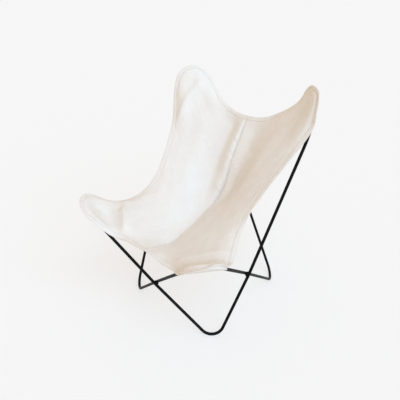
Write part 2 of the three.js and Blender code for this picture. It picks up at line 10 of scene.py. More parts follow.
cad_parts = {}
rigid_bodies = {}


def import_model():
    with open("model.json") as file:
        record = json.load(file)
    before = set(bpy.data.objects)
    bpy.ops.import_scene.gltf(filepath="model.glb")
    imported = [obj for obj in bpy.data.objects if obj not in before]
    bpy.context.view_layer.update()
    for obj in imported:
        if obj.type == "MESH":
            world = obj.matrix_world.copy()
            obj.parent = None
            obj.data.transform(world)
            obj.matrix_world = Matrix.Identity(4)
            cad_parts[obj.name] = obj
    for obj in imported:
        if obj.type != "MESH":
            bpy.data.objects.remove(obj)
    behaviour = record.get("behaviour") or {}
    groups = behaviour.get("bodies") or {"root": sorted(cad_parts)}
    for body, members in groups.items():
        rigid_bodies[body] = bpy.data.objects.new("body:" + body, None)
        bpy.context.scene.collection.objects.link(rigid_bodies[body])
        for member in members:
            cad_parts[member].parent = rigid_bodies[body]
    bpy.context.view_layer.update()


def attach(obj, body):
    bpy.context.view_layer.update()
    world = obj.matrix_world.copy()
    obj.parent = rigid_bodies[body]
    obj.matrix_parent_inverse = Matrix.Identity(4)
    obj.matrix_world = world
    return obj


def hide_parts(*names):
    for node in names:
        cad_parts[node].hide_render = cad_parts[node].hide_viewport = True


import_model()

# Sizes are in millimetres, with the sitter facing -Y. in_frame() brings points into the frame.
DEPTH_SHIFT = 9.3535

# Rod frame
ROD_RADIUS = 6.0
FLOOR_BEND = 50.0
FRONT_EAR_BEND = 51.0
REAR_EAR_BEND = 58.0
SHOULDER_BEND = 260.0
CROSSING_BEND = 400.0
FRONT_EAR_CORNER = (-352.0, -370.0, 528.0)
OUTER_SHOULDER_CORNER = (328.0, 226.0, 738.0)
REAR_EAR_CORNER = (345.0, 283.0, 1040.0)
INNER_SHOULDER_CORNER = (230.0, 346.0, 761.0)
FRONT_FOOT = (240.0, -187.0)
REAR_FOOT = (-200.0, 286.0)
FOOT_FLAT = 0.4
WELD_WEB = 1.4
WELD_RADIUS = 10.5
WELD_HEIGHT = 6.5
BUTT_GAP = 0.3
ROD_SIDES = 20
BEND_STEP = math.radians(6)

# Canvas sling
CLEARANCE = 0.3
CANVAS = 1.4
POCKET_CANVAS = 1.2
TAPE_CANVAS = 1.0
FRONT_EAR_RADIUS = 86.0
FRONT_TIP_MARGIN = 25.0
REAR_EAR_RADIUS = 81.0
REAR_TIP_MARGIN = 23.0
EAR_COVER = 7.3
SEAM_GAP = 0.15
FRONT_MIDDLE = (SEAM_GAP, -306.0, 375.0)
SEAT_LOW = (SEAM_GAP, -110.0, 330.0)
SEAT_BEND = (SEAM_GAP, 125.0, 428.0)
BACK_HOLLOW = (SEAM_GAP, 200.0, 570.0)
TOP_MIDDLE = (SEAM_GAP, 300.0, 730.0)
WAIST = (257.0, 25.0, 526.0)
WAIST_DIRECTION = (-0.2, -0.68, -0.71)
POCKET_REACH = 150.0
FACING_WIDTH = 23.0
FACING_INSET = 1.2
SEAM_TAPE_WIDTH = 30.0
SEWN_GAP = 0.1
HEM_STITCH = 17.0
SEAM_STITCH = 4.5
EDGE_ROLL = 1.1
EDGE_ROLL_STEPS = (45, 90, 135, 170)

# Where the sling's edges leave the round of an ear, and how far they are pulled at each end
FRONT_LEAVES = math.radians(78)
FRONT_PULLS = (188.0, 155.0)
TOP_LEAVES = math.radians(-33)
TOP_PULLS = (169.0, -75.0)
SIDE_LEAVES = math.radians(-73)
SIDE_ARRIVES = math.radians(62)
LOWER_SIDE_PULLS = (127.0, 146.0)
UPPER_SIDE_PULLS = (313.0, 123.0)


def point(*values):
    return np.array(values, float)


def unit(v):
    return v / np.linalg.norm(v, axis=-1, keepdims=True)


def dot(a, b):
    return np.sum(a * b, axis=-1)


def mirrored(p):
    return p * point(-1, 1, 1)


def in_frame(p):
    return (np.asarray(p, float) + point(0, DEPTH_SHIFT, 0)) / 1000


def smoothstep(x, low, high):
    t = np.clip((x - low) / (high - low), 0, 1)
    return t * t * (3 - 2 * t)


def fade(x, low, high):
    return 1 - smoothstep(x, low, high)


def within(x, start, end):
    """1 inside a span, with a soft start and a soft end."""
    return smoothstep(x, *start) * fade(x, *end)


def bell(off, width):
    return np.exp(-((off / width) ** 2))


# Where the rod is bent


def bend_at(before, corner, after, radius):
    """The circle that rounds a corner of the rod, with directions to its tip and its start."""
    back = unit(before - corner)
    on = unit(after - corner)
    half = math.acos(np.clip(back @ on, -1, 1)) / 2
    inward = unit(back + on)
    return {
        "centre": corner + inward * radius / math.sin(half),
        "tip": -inward,
        "start": unit(back - on),
        "radius": radius,
        "reach": math.pi / 2 - half,
    }


def on_bend(bend, angle):
    angle = np.asarray(angle, float)[..., None]
    aside = np.cos(angle) * bend["tip"] + np.sin(angle) * bend["start"]
    return bend["centre"] + bend["radius"] * aside


def flipped_bend(bend):
    return {**bend, **{k: mirrored(bend[k]) for k in ("centre", "tip", "start")}}


def foot_corner(x, y, before, after):
    """A floor corner whose bend just reaches the floor, less the flat that is worn on it."""
    low, high = -100.0, 100.0
    for _ in range(40):
        middle = (low + high) / 2
        bend = bend_at(before, point(x, y, middle), after, FLOOR_BEND)
        lowest = bend["centre"][2] - FLOOR_BEND * math.hypot(bend["tip"][2], bend["start"][2])
        if lowest > ROD_RADIUS - FOOT_FLAT:
            high = middle
        else:
            low = middle
    return point(x, y, (low + high) / 2)


def crossing(own_from, own_to, other_from, other_to, side):
    """Where two rods cross they pass side by side, with a weld between them."""
    own, other, between = own_to - own_from, other_to - other_from, other_from - own_from
    normal = np.cross(own, other)
    scale = normal @ normal
    on_own = own_from + own * (np.cross(between, other) @ normal) / scale
    on_other = other_from + other * (np.cross(between, own) @ normal) / scale
    normal = unit(normal)
    if normal @ side < 0:
        normal = -normal
    pitch = 2 * ROD_RADIUS + WELD_WEB + 2 * CLEARANCE
    middle = (on_own + on_other) / 2
    return middle + normal * pitch / 2, middle - normal * pitch / 2


front_ear_corner = point(*FRONT_EAR_CORNER)
outer_shoulder = point(*OUTER_SHOULDER_CORNER)
rear_ear_corner = point(*REAR_EAR_CORNER)
inner_shoulder = point(*INNER_SHOULDER_CORNER)
front_foot = foot_corner(*FRONT_FOOT, front_ear_corner, outer_shoulder)
rear_foot = foot_corner(*REAR_FOOT, inner_shoulder, front_ear_corner)
front_near, front_far = crossing(
    front_ear_corner, front_foot, mirrored(front_ear_corner), mirrored(front_foot), point(0, -1, 0)
)
rear_far, rear_near = crossing(
    inner_shoulder, rear_foot, mirrored(inner_shoulder), mirrored(rear_foot), point(0, 1, 0)
)
side_outer, side_inner = crossing(
    front_foot, outer_shoulder, mirrored(rear_foot), mirrored(front_ear_corner), point(1, 0, 0)
)


def loop_bends(front_cross, rear_cross):
    """The bends of a rod loop in order, from its front ear round by its front foot."""
    inner = mirrored(side_inner)
    corners = {
        "ear_front": (front_ear_corner, FRONT_EAR_BEND),
        "cross_front": (front_cross, CROSSING_BEND),
        "foot_front": (foot_corner(*FRONT_FOOT, front_cross, side_outer), FLOOR_BEND),
        "cross_outer": (side_outer, CROSSING_BEND),
        "shoulder_outer": (outer_shoulder, SHOULDER_BEND),
        "ear_rear": (rear_ear_corner, REAR_EAR_BEND),
        "shoulder_inner": (inner_shoulder, SHOULDER_BEND),
        "cross_rear": (rear_cross, CROSSING_BEND),
        "foot_rear": (foot_corner(*REAR_FOOT, rear_cross, inner), FLOOR_BEND),
        "cross_inner": (inner, CROSSING_BEND),
    }
    names = list(corners)
    bends = {}
    for i, name in enumerate(names):
        corner, radius = corners[name]
        before = corners[names[i - 1]][0]
        after = corners[names[(i + 1) % len(names)]][0]
        bends[name] = bend_at(before, corner, after, radius)
    return bends


right_loop = loop_bends(front_near, rear_far)
left_loop = loop_bends(mirrored(front_far), mirrored(rear_near))
left_loop = {name: flipped_bend(bend) for name, bend in left_loop.items()}


# Finishes

PALE = (0.823, 0.762, 0.695, 1)
WARM = (0.808, 0.744, 0.675, 1)
STRIP_PALE = (0.76, 0.71, 0.63, 1)
STRIP_WARM = (0.72, 0.665, 0.58, 1)
FLECK_TONE = (0.36, 0.26, 0.15, 1)
# Tone for soil along the edge and for painted shade in the stitch and seam grooves
SOIL_AND_SHADE_TONE = (0.52, 0.44, 0.34, 1)
THREAD_DARK = (0.62, 0.55, 0.44, 1)
THREAD_LIGHT = (0.74, 0.68, 0.57, 1)
PAINT_TONE = (0.0022, 0.0022, 0.0024, 1)
DUST_TONE = (0.007, 0.0066, 0.0062, 1)
BARE_STEEL = (0.16, 0.15, 0.14, 1)
YARN_PITCH = 0.0011
STRIP_YARN_PITCH = 0.0009
YARN_SWAY = 0.0016
YARN_STRETCH = (160, 25)
SLUB_STRETCH = (620, 26)
MOTTLE_SCALE = 17.0
FLECK_SCALE = 95.0
SCUFF_HEIGHTS = (-0.0026, -0.0008)


def new_finish(name, roughness):
    finish = bpy.data.materials.new(name)
    finish.use_nodes = True
    tree = finish.node_tree
    surface = tree.nodes["Principled BSDF"]
    surface.inputs["Roughness"].default_value = roughness
    return finish, tree, surface


def feed(tree, socket, value):
    if isinstance(value, bpy.types.NodeSocket):
        tree.links.new(value, socket)
    else:
        socket.default_value = value


def put(tree, kind, inputs=(), **settings):
    """Adds a node with its own settings, and feeds its inputs with values or sockets."""
    node = tree.nodes.new("ShaderNode" + kind)
    for name, value in settings.items():
        setattr(node, name, value)
    for name, value in dict(inputs).items():
        feed(tree, node.inputs[name], value)
    return node


def reckon(tree, operation, first, second=0.0):
    node = put(tree, "Math", {0: first, 1: second}, operation=operation)
    return node.outputs[0]


def spread(tree, value, low, high, to_low=0.0, to_high=1.0):
    """Brings a value's span from low to high onto another span, softly at both ends."""
    inputs = {0: value, 1: low, 2: high, 3: to_low, 4: to_high}
    return put(tree, "MapRange", inputs, interpolation_type="SMOOTHSTEP").outputs[0]


def tint(tree, share, first, second):
    node = put(tree, "Mix", {0: share, 6: first, 7: second}, data_type="RGBA")
    return node.outputs[2]


def scaled(tree, vector, x, y, z=1.0):
    return put(tree, "Mapping", {"Vector": vector, "Scale": (x, y, z)}).outputs[0]


def noise(tree, vector, scale, detail=2.0, roughness=0.5):
    inputs = {"Vector": vector, "Scale": scale, "Detail": detail, "Roughness": roughness}
    return put(tree, "TexNoise", inputs).outputs[0]


def darkened(tone, share):
    return (*(share * c for c in tone[:3]), 1)


def canvas_finish(name, pale, warm, pitch):
    """Heavy cotton canvas: a plain weave of slightly uneven yarns, with slubs and flecks."""
    finish, tree, cloth = new_finish(name, 0.92)
    cloth.inputs["Specular IOR Level"].default_value = 0.2
    cloth.inputs["Sheen Weight"].default_value = 0.1
    cloth.inputs["Sheen Roughness"].default_value = 0.6
    flat = put(tree, "UVMap", uv_map="flat").outputs[0]
    axes = put(tree, "SeparateXYZ", {0: flat})

    def yarns(axis, stretch):
        sway = reckon(tree, "MULTIPLY", noise(tree, scaled(tree, flat, *stretch), 1.0), YARN_SWAY)
        turn = reckon(tree, "MULTIPLY", reckon(tree, "ADD", axis, sway), math.pi / pitch)
        return reckon(tree, "SINE", turn)

    across = yarns(axes.outputs[0], YARN_STRETCH)
    along = yarns(axes.outputs[1], YARN_STRETCH[::-1])
    over = reckon(tree, "MULTIPLY", reckon(tree, "MULTIPLY", across, along), 0.75)
    warp = reckon(tree, "ADD", reckon(tree, "ABSOLUTE", across), over)
    weft = reckon(tree, "SUBTRACT", reckon(tree, "ABSOLUTE", along), over)
    weave = reckon(tree, "MAXIMUM", warp, weft)
    slub_up = noise(tree, scaled(tree, flat, *SLUB_STRETCH), 1.0, 3.0, 0.6)
    slub_across = noise(tree, scaled(tree, flat, *SLUB_STRETCH[::-1]), 1.0, 3.0, 0.6)
    slub = reckon(tree, "MAXIMUM", slub_up, slub_across)
    mottle = noise(tree, flat, MOTTLE_SCALE, 4.0, 0.55)
    fleck = put(tree, "TexVoronoi", {"Vector": flat, "Scale": FLECK_SCALE}, feature="F1")
    chance = put(tree, "SeparateColor", {0: fleck.outputs["Color"]}).outputs[0]
    speck = spread(tree, fleck.outputs["Distance"], 0.05, 0.12, 1.0, 0.0)
    speck = reckon(tree, "MULTIPLY", speck, spread(tree, chance, 0.86, 0.9))
    soil_and_shade = put(tree, "Attribute", attribute_name="soil_and_shade").outputs["Fac"]

    tone = tint(tree, spread(tree, mottle, 0.3, 0.7), pale, warm)
    tone = tint(tree, spread(tree, slub, 0.5, 0.8, 0.0, 0.5), tone, darkened(warm, 0.93))
    # Painted shade: the gaps between the yarns are darker
    gap = spread(tree, weave, 0.1, 0.75, 0.3, 0.0)
    tone = tint(tree, gap, tone, darkened(warm, 0.62))
    tone = tint(tree, reckon(tree, "MULTIPLY", speck, 0.45), tone, FLECK_TONE)
    # Painted shade in the grooves of the hem stitches and the seam, with soil along the edge
    tone = tint(tree, reckon(tree, "MULTIPLY", soil_and_shade, 0.35), tone, SOIL_AND_SHADE_TONE)
    feed(tree, cloth.inputs["Base Color"], tone)
    height = reckon(tree, "ADD", weave, reckon(tree, "MULTIPLY", slub, 0.9))
    bump = put(tree, "Bump", {"Strength": 0.45, "Distance": 0.0004, "Height": height})
    feed(tree, cloth.inputs["Normal"], bump.outputs[0])
    return finish


def thread_finish():
    """Waxed cotton sewing thread, a shade warmer than the canvas."""
    finish, tree, thread = new_finish("cotton_thread", 0.7)
    place = put(tree, "TexCoord").outputs["Object"]
    twist = noise(tree, place, 1400.0, 2.0)
    tone = tint(tree, noise(tree, place, 60.0), THREAD_DARK, THREAD_LIGHT)
    feed(tree, thread.inputs["Base Color"], tone)
    bump = put(tree, "Bump", {"Strength": 0.4, "Distance": 0.0003, "Height": twist})
    feed(tree, thread.inputs["Normal"], bump.outputs[0])
    return finish


def paint_finish(name, grain, roughness):
    """Satin black paint on steel, finely pitted, and scuffed where the feet meet the floor."""
    finish, tree, paint = new_finish(name, roughness)
    paint.inputs["Specular IOR Level"].default_value = 0.08
    place = put(tree, "TexCoord").outputs["Object"]
    height = put(tree, "SeparateXYZ", {0: place}).outputs[2]
    patch = noise(tree, place, 55.0, 4.0, 0.6)
    scratch = noise(tree, scaled(tree, place, 900, 900, 120), 1.0, 3.0)
    edge = reckon(tree, "MULTIPLY", noise(tree, place, 240.0, 3.0, 0.7), 0.006)
    bare = spread(tree, reckon(tree, "SUBTRACT", height, edge), *SCUFF_HEIGHTS, 0.85, 0.0)
    dust = spread(tree, reckon(tree, "MULTIPLY", patch, scratch), 0.22, 0.42, 0.0, 0.4)
    tone = tint(tree, dust, PAINT_TONE, DUST_TONE)
    tone = tint(tree, bare, tone, BARE_STEEL)
    feed(tree, paint.inputs["Base Color"], tone)
    gloss = spread(tree, patch, 0.3, 0.7, roughness - 0.06, roughness + 0.08)
    feed(tree, paint.inputs["Roughness"], gloss)
    peel = noise(tree, place, grain, 2.0)
    bump = put(tree, "Bump", {"Strength": 0.15, "Distance": 0.0003, "Height": peel})
    feed(tree, paint.inputs["Normal"], bump.outputs[0])
    return finish


panel_canvas = canvas_finish("natural_canvas", PALE, WARM, YARN_PITCH)
pocket_canvas = canvas_finish("pocket_canvas", PALE, WARM, YARN_PITCH)
strip_canvas = canvas_finish("strip_canvas", STRIP_PALE, STRIP_WARM, STRIP_YARN_PITCH)
cotton_thread = thread_finish()
black_paint = paint_finish("satin_black_paint", 650.0, 0.42)
weld_paint = paint_finish("painted_weld", 420.0, 0.46)


# Rods and welds

CREASE_ANGLE = math.radians(40)
BEAD_UNEVENNESS = 0.0011


def settle(piece, node):
    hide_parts(node)
    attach(piece, "root")


def start_piece(name):
    piece = bpy.context.object
    piece.name = name
    piece.data.name = name
    bpy.ops.object.transform_apply(location=True, rotation=True, scale=True)
    bpy.ops.object.mode_set(mode="EDIT")
    bpy.ops.mesh.select_all(action="SELECT")
    return piece


def end_piece(piece, finish, angle=CREASE_ANGLE):
    bpy.ops.mesh.select_all(action="SELECT")
    bpy.ops.mesh.normals_make_consistent(inside=False)
    bpy.ops.object.mode_set(mode="OBJECT")
    bpy.ops.object.shade_smooth_by_angle(angle=angle)
    piece.data.materials.clear()
    piece.data.materials.append(finish)


def turn_rod(bend, angle):
    """Carries the rod's open end round part of a bend."""
    axis = np.cross(bend["start"], bend["tip"])
    bpy.ops.mesh.spin(
        steps=max(2, math.ceil(angle / BEND_STEP)),
        dupli=False,
        angle=-angle,
        center=in_frame(bend["centre"]),
        axis=axis,
    )


def run_rod(bend, following):
    """Draws the rod's open end straight on to the next bend."""
    run = on_bend(following, following["reach"]) - on_bend(bend, -bend["reach"])
    bpy.ops.mesh.extrude_region_move(TRANSFORM_OT_translate={"value": run / 1000})


def bend_loop(name, bends, node):
    """One rod from the tip of the front ear all the way round, and back to a butt joint there."""
    ear = bends["ear_front"]
    bpy.ops.object.select_all(action="DESELECT")
    bpy.ops.mesh.primitive_circle_add(
        vertices=ROD_SIDES,
        radius=ROD_RADIUS / 1000,
        location=in_frame(on_bend(ear, 0)),
        rotation=Vector(-ear["start"]).to_track_quat("Z", "Y").to_euler(),
    )
    rod = start_piece(name)
    turn_rod(ear, ear["reach"])
    order = list(bends.values())
    for bend, following in zip(order, order[1:]):
        run_rod(bend, following)
        turn_rod(following, 2 * following["reach"])
    run_rod(order[-1], ear)
    turn_rod(ear, ear["reach"] - BUTT_GAP / FRONT_EAR_BEND)
    bpy.ops.mesh.select_all(action="DESELECT")
    bpy.ops.mesh.select_non_manifold(extend=False)
    bpy.ops.mesh.fill_holes(sides=ROD_SIDES)
    bpy.ops.mesh.select_all(action="SELECT")
    bpy.ops.mesh.bisect(
        plane_co=(0, 0, 0), plane_no=(0, 0, 1), use_fill=True, clear_inner=True, threshold=1e-6
    )
    end_piece(rod, black_paint)
    settle(rod, node)


bend_loop("bent_rod_right", right_loop, "rod_loop_right")
bend_loop("bent_rod_left", left_loop, "rod_loop_left")


def run_bead(name, bend_a, bend_b, node, seed):
    """A flat bead of weld that fills the corners between two crossing rods."""
    a, b = on_bend(bend_a, 0), on_bend(bend_b, 0)
    bpy.ops.object.select_all(action="DESELECT")
    bpy.ops.mesh.primitive_uv_sphere_add(
        segments=32,
        ring_count=16,
        radius=0.001,
        location=in_frame((a + b) / 2),
        rotation=Vector(a - b).to_track_quat("Z", "Y").to_euler(),
        scale=(WELD_RADIUS, WELD_RADIUS, WELD_HEIGHT),
    )
    bead = start_piece(name)
    bpy.ops.transform.vertex_random(offset=BEAD_UNEVENNESS, normal=1.0, seed=seed)
    bpy.ops.mesh.vertices_smooth(factor=0.5, repeat=2)
    end_piece(bead, weld_paint, math.pi)
    settle(bead, node)


for place, on_right, on_left, seed in (
    ("front", "cross_front", "cross_front", 3),
    ("rear", "cross_rear", "cross_rear", 5),
    ("left", "cross_outer", "cross_inner", 7),
    ("right", "cross_inner", "cross_outer", 9),
):
    bends = right_loop[on_right], left_loop[on_left]
    run_bead("weld_bead_" + place, *bends, "weld_" + place, seed)


# Sling, pulled tight: one half is drawn on the left, and both halves are made from it

TIP_FLAT = 30.0


def ear_of(bend, cloth_radius, margin, inner):
    """An ear lies on the inner side of its rod bend, with its cloth reaching past the rod."""
    normal = unit(np.cross(bend["tip"], bend["start"]))
    if normal @ inner < 0:
        normal = -normal
    centre = bend["centre"] + normal * EAR_COVER
    centre = centre + bend["tip"] * (bend["radius"] + margin - cloth_radius)
    ear = {**bend, "rod_centre": bend["centre"], "rod_bend": bend["radius"]}
    return {**ear, "normal": normal, "centre": centre, "radius": cloth_radius}


ear_front = ear_of(
    flipped_bend(right_loop["ear_front"]), FRONT_EAR_RADIUS, FRONT_TIP_MARGIN, point(-1, 0.5, 1)
)
ear_rear = ear_of(right_loop["ear_rear"], REAR_EAR_RADIUS, REAR_TIP_MARGIN, point(-1, -1, 0))
# The front ear's start lies towards the seam, the rear ear's towards the side
ear_front["start"] = -ear_front["start"] * np.sign(ear_front["start"][0])
ear_rear["start"] = ear_rear["start"] * np.sign(ear_rear["start"][0])
ears = (ear_front, ear_rear)
tip_front = on_bend(ear_front, 0)
tip_rear = on_bend(ear_rear, 0)


def along_ear(ear, angle):
    return ear["start"] * math.cos(angle) - ear["tip"] * math.sin(angle)


def round_ear(ear, start, end):
    return on_bend(ear, np.linspace(start, end, 200))


def pulled_curve(start, start_pull, end_pull, end):
    t = np.linspace(0, 1, 400)[:, None]
    first = (1 - t) ** 3 * start + 3 * (1 - t) ** 2 * t * start_pull
    return first + 3 * (1 - t) * t * t * end_pull + t**3 * end


def reach_along(points):
    return np.r_[0, np.cumsum(np.linalg.norm(np.diff(points, axis=0), axis=1))]


def edge_path(*pieces):
    points = np.vstack([pieces[0], *(piece[1:] for piece in pieces[1:])])
    reach = reach_along(points)
    return {"points": points, "length": reach[-1], "shares": reach / reach[-1]}


def on_path(path, share):
    return np.stack([np.interp(share, path["shares"], axis) for axis in path["points"].T], axis=-1)


front_middle = point(*FRONT_MIDDLE)
top_middle = point(*TOP_MIDDLE)
waist = point(*WAIST)
waist_direction = unit(point(*WAIST_DIRECTION))


def end_edge(middle, ear, leaves, pulls):
    """Half of the front or top edge: from the seam out to an ear, and round it to its tip."""
    seam_pull, ear_pull = pulls
    leave = on_bend(ear, leaves)
    leaving = leave + along_ear(ear, leaves) * ear_pull
    curve = pulled_curve(middle, point(seam_pull, *middle[1:]), leaving, leave)
    return edge_path(curve, round_ear(ear, leaves, 0))


front_edge = end_edge(front_middle, ear_front, FRONT_LEAVES, FRONT_PULLS)
top_edge = end_edge(top_middle, ear_rear, TOP_LEAVES, TOP_PULLS)
leave, arrive = on_bend(ear_front, SIDE_LEAVES), on_bend(ear_rear, SIDE_ARRIVES)
side_edge = edge_path(
    round_ear(ear_front, 0, SIDE_LEAVES),
    pulled_curve(
        leave,
        leave - along_ear(ear_front, SIDE_LEAVES) * LOWER_SIDE_PULLS[0],
        waist + waist_direction * LOWER_SIDE_PULLS[1],
        waist,
    ),
    pulled_curve(
        waist,
        waist - waist_direction * UPPER_SIDE_PULLS[0],
        arrive + along_ear(ear_rear, SIDE_ARRIVES) * UPPER_SIDE_PULLS[1],
        arrive,
    ),
    round_ear(ear_rear, SIDE_ARRIVES, 0),
)


def smooth_line(places, steps=200):
    """A smooth line through places, eased by the root of their distances."""
    places = [point(*p) for p in places]
    places = [2 * places[0] - places[1], *places, 2 * places[-1] - places[-2]]
    runs = []
    for before, here, there, after in zip(places, places[1:], places[2:], places[3:]):
        first = np.linalg.norm(here - before) ** 0.5
        middle = np.linalg.norm(there - here) ** 0.5
        last = np.linalg.norm(after - there) ** 0.5
        on = (there - here) / middle
        leaving = (here - before) / first - (there - before) / (first + middle) + on
        arriving = on - (after - here) / (middle + last) + (after - there) / last
        leaving, arriving = leaving * middle, arriving * middle
        t = np.linspace(0, 1, steps)[:, None]
        square = 3 * (there - here) - 2 * leaving - arriving
        cube = 2 * (here - there) + leaving + arriving
        runs.append(here + leaving * t + square * t**2 + cube * t**3)
    return edge_path(*runs)


half_width = front_edge["length"]
side_length = side_edge["length"]
seam_line = smooth_line([FRONT_MIDDLE, SEAT_LOW, SEAT_BEND, BACK_HOLLOW, TOP_MIDDLE])


def rest_on_ear(p, ear):
    """Cloth can lie on the rods of an ear, but not go through them."""
    down = -dot(p - on_bend(ear, 0), ear["tip"])
    height = dot(p - ear["centre"], ear["normal"])
    near = fade(down, 2 * POCKET_REACH, 3 * POCKET_REACH)
    return p + (np.maximum(0, -height) * near)[..., None] * ear["normal"]


FILM_ACROSS = 56
FILM_ALONG = 152
FILM_PASSES = 500
FILM_OVERSHOOT = 1.9


def tight_film():
    """The cloth pulled tight between its edges: each inner point settles among its neighbours."""
    across = np.linspace(0, 1, FILM_ACROSS + 1)[None, :, None]
    along = np.linspace(0, 1, FILM_ALONG + 1)[:, None, None]
    seam = on_path(seam_line, along[:, 0, 0])[:, None]
    side = on_path(side_edge, along[:, 0, 0])[:, None]
    front = on_path(front_edge, across[0, :, 0])[None]
    top = on_path(top_edge, across[0, :, 0])[None]
    film = seam * (1 - across) + side * across + front * (1 - along) + top * along
    middles = front_middle * (1 - along) + top_middle * along
    tips = tip_front * (1 - along) + tip_rear * along
    film = film - middles * (1 - across) - tips * across
    rows, columns = np.indices(film[1:-1, 1:-1].shape[:2])
    inner = film[1:-1, 1:-1]
    for _ in range(FILM_PASSES):
        for turn in (0, 1):
            own = (rows + columns) % 2 == turn
            among = film[:-2, 1:-1] + film[2:, 1:-1] + film[1:-1, :-2] + film[1:-1, 2:]
            moved = inner[own] + FILM_OVERSHOOT * (among[own] / 4 - inner[own])
            inner[own] = rest_on_ear(rest_on_ear(moved, ear_front), ear_rear)
    return film


film = tight_film()


def ease_weights(t):
    return (
        -0.5 * t**3 + t**2 - 0.5 * t,
        1.5 * t**3 - 2.5 * t**2 + 1,
        -1.5 * t**3 + 2 * t**2 + 0.5 * t,
        0.5 * t**3 - 0.5 * t**2,
    )


def between(table, across, along):
    """Reads a table smoothly: across goes from the seam to the edge, along from front to top."""
    rows, columns = table.shape[0] - 1, table.shape[1] - 1
    wide = np.pad(table, ((1, 1), (1, 1), (0, 0)), mode="reflect", reflect_type="odd")
    x = np.clip(across, 0, 1) * columns
    y = np.clip(along, 0, 1) * rows
    column = np.minimum(x.astype(int), columns - 1)
    row = np.minimum(y.astype(int), rows - 1)
    total = 0
    for i, weight_y in enumerate(ease_weights(y - row)):
        for j, weight_x in enumerate(ease_weights(x - column)):
            total = total + (weight_y * weight_x)[..., None] * wide[row + i, column + j]
    return total


def tight_point(across, along):
    return between(film, across, along)


def facing_of(place, out, back):
    """The way the cloth faces, which at an ear's tip is the way the whole ear faces."""
    normal = unit(np.cross(out, back) + 1e-9)
    for ear in ears:
        far = np.linalg.norm(place - on_bend(ear, 0), axis=-1)
        near = bell(far, TIP_FLAT)[..., None]
        normal = unit(normal * (1 - near) + ear["normal"] * near)
    return normal


def tight_normal(across, along, place):
    step = 1 / FILM_ALONG
    out = tight_point(across + step, along) - tight_point(across - step, along)
    back = tight_point(across, along + step) - tight_point(across, along - step)
    normal = facing_of(place, out, back)
    normal[..., 0] *= smoothstep(across, -0.001, 0.02)
    return unit(normal)


def search_tree(places):
    tree = KDTree(len(places))
    for k, place in enumerate(places):
        tree.insert(place, k)
    tree.balance()
    return tree


outline_points = np.vstack(
    [
        on_path(front_edge, np.linspace(0, 1, 800)),
        on_path(side_edge, np.linspace(0, 1, 1900))[1:],
        on_path(top_edge, np.linspace(1, 0, 800))[1:],
    ]
)
outline_reach = reach_along(outline_points)
outline = search_tree(outline_points)


def from_edge(places):
    """How far places lie from the sling's outline, and how far round it."""
    found = [outline.find(p) for p in places.reshape(-1, 3)]
    far = np.array([f[2] for f in found]).reshape(places.shape[:-1])
    reach = outline_reach[[f[1] for f in found]].reshape(places.shape[:-1])
    return far, reach


def outside_rod(ear, place):
    """How far a place lies outside the middle of the rod that is bent round the ear."""
    aside = np.abs(dot(place - ear["rod_centre"], ear["start"]))
    up = dot(place - ear["rod_centre"], ear["tip"])
    on_arc = np.arctan2(aside, up) < ear["reach"]
    leg = aside * math.sin(ear["reach"]) + up * math.cos(ear["reach"])
    return np.where(on_arc, np.hypot(aside, up), leg) - ear["rod_bend"]


# Folds, as heights above the tight cloth

LEFT, RIGHT = 1, -1
EAR_DROP = {"front": 3.0, "rear": 5.8}
EAR_FADE = (95.0, 170.0)
EAR_ROUND = (190.0, 260.0)
EAR_HOLLOW = {"front": 5.0, "rear": 8.0}
RIM_LEAST = 13.0
HOLLOW_IN = (8.0, 60.0)
HOLLOW_DOWN = (120.0, 330.0)
HOLLOW_ROUND = (220.0, 380.0)
FRONT_RIDGE = {LEFT: 7.0, RIGHT: 27.0}
FRONT_RIDGE_DOWN = 158.0
FRONT_RIDGE_SLANT = 0.33
FRONT_RIDGE_WIDTHS = (26.0, 70.0)
FRONT_VALLEY = {LEFT: 4.0, RIGHT: 22.0}
FRONT_VALLEY_DOWN = {LEFT: 118.0, RIGHT: 106.0}
FRONT_VALLEY_SLANT = 0.42
FRONT_VALLEY_WIDTHS = {LEFT: (45.0, 36.0), RIGHT: (62.0, 34.0)}
FRONT_FOLD_MIDDLE = {LEFT: 0.0, RIGHT: 45.0}
FRONT_FOLD_SPREAD = {LEFT: 190.0, RIGHT: 105.0}
FRONT_FOLD_INSET = (4.0, 54.0)
FRONT_EDGE_FALL = 13.0
FALL_START, FALL_END = (30.0, 110.0), (240.0, 310.0)
FALL_BACK = (40.0, 60.0)
FALL_INSET = (6.0, 50.0)
HEM_HANG = 15.0
HANG_START, HANG_END = (-48.0, 12.0), (95.0, 170.0)
HANG_INSET = (0.0, 25.0)
REAR_EAR_FOLD = 16.0
REAR_FOLD_WIDTHS = (34.0, 66.0)
REAR_FOLD_START, REAR_FOLD_END = (0.67, 0.8), (0.94, 0.99)
REAR_TIP_CURL = 14.0
CURL_ASIDE, CURL_DOWN = (-25.0, 30.0), (30.0, 105.0)
CURL_INSET = 24.0
REAR_RIM_FALL = 5.0
RIM_FALL_OUT = (0.0, 26.0)
RIM_FALL_START, RIM_FALL_END = (50.0, 100.0), (100.0, 240.0)
BACK_START, BACK_END = (0.44, 0.6), (0.9, 1.0)
BACK_END_FADE = 0.85
SEAM_FREE_ENDS = (0.0, 0.1)
SEAT_FULLNESS = 4.0
FULLNESS_OUT = 45.0
SEAM_LIFT = 15.0
LIFT_OUT = {LEFT: 95.0, RIGHT: 32.0}
LIFT_POWER = {LEFT: 2, RIGHT: 1}
LIFT_START, LIFT_END = (0.15, 0.27), (0.42, 0.58)
RIDGE_RISE = {LEFT: 0.0, RIGHT: 7.0}
RIDGE_FALL = {LEFT: 22.0, RIGHT: 29.0}
RIDGE_RETURN = 150.0
BROAD_RIPPLE = 0.6
SMALL_RIPPLE = 0.2
SEAM_GROOVE = 1.1
SEAM_GROOVE_WIDTH = 2.2
SEAM_PUCKER_PITCHES = (3.9, 6.9, 12.7)
HEM_GROOVE = 1.1
HEM_GROOVE_WIDTH = 2.0
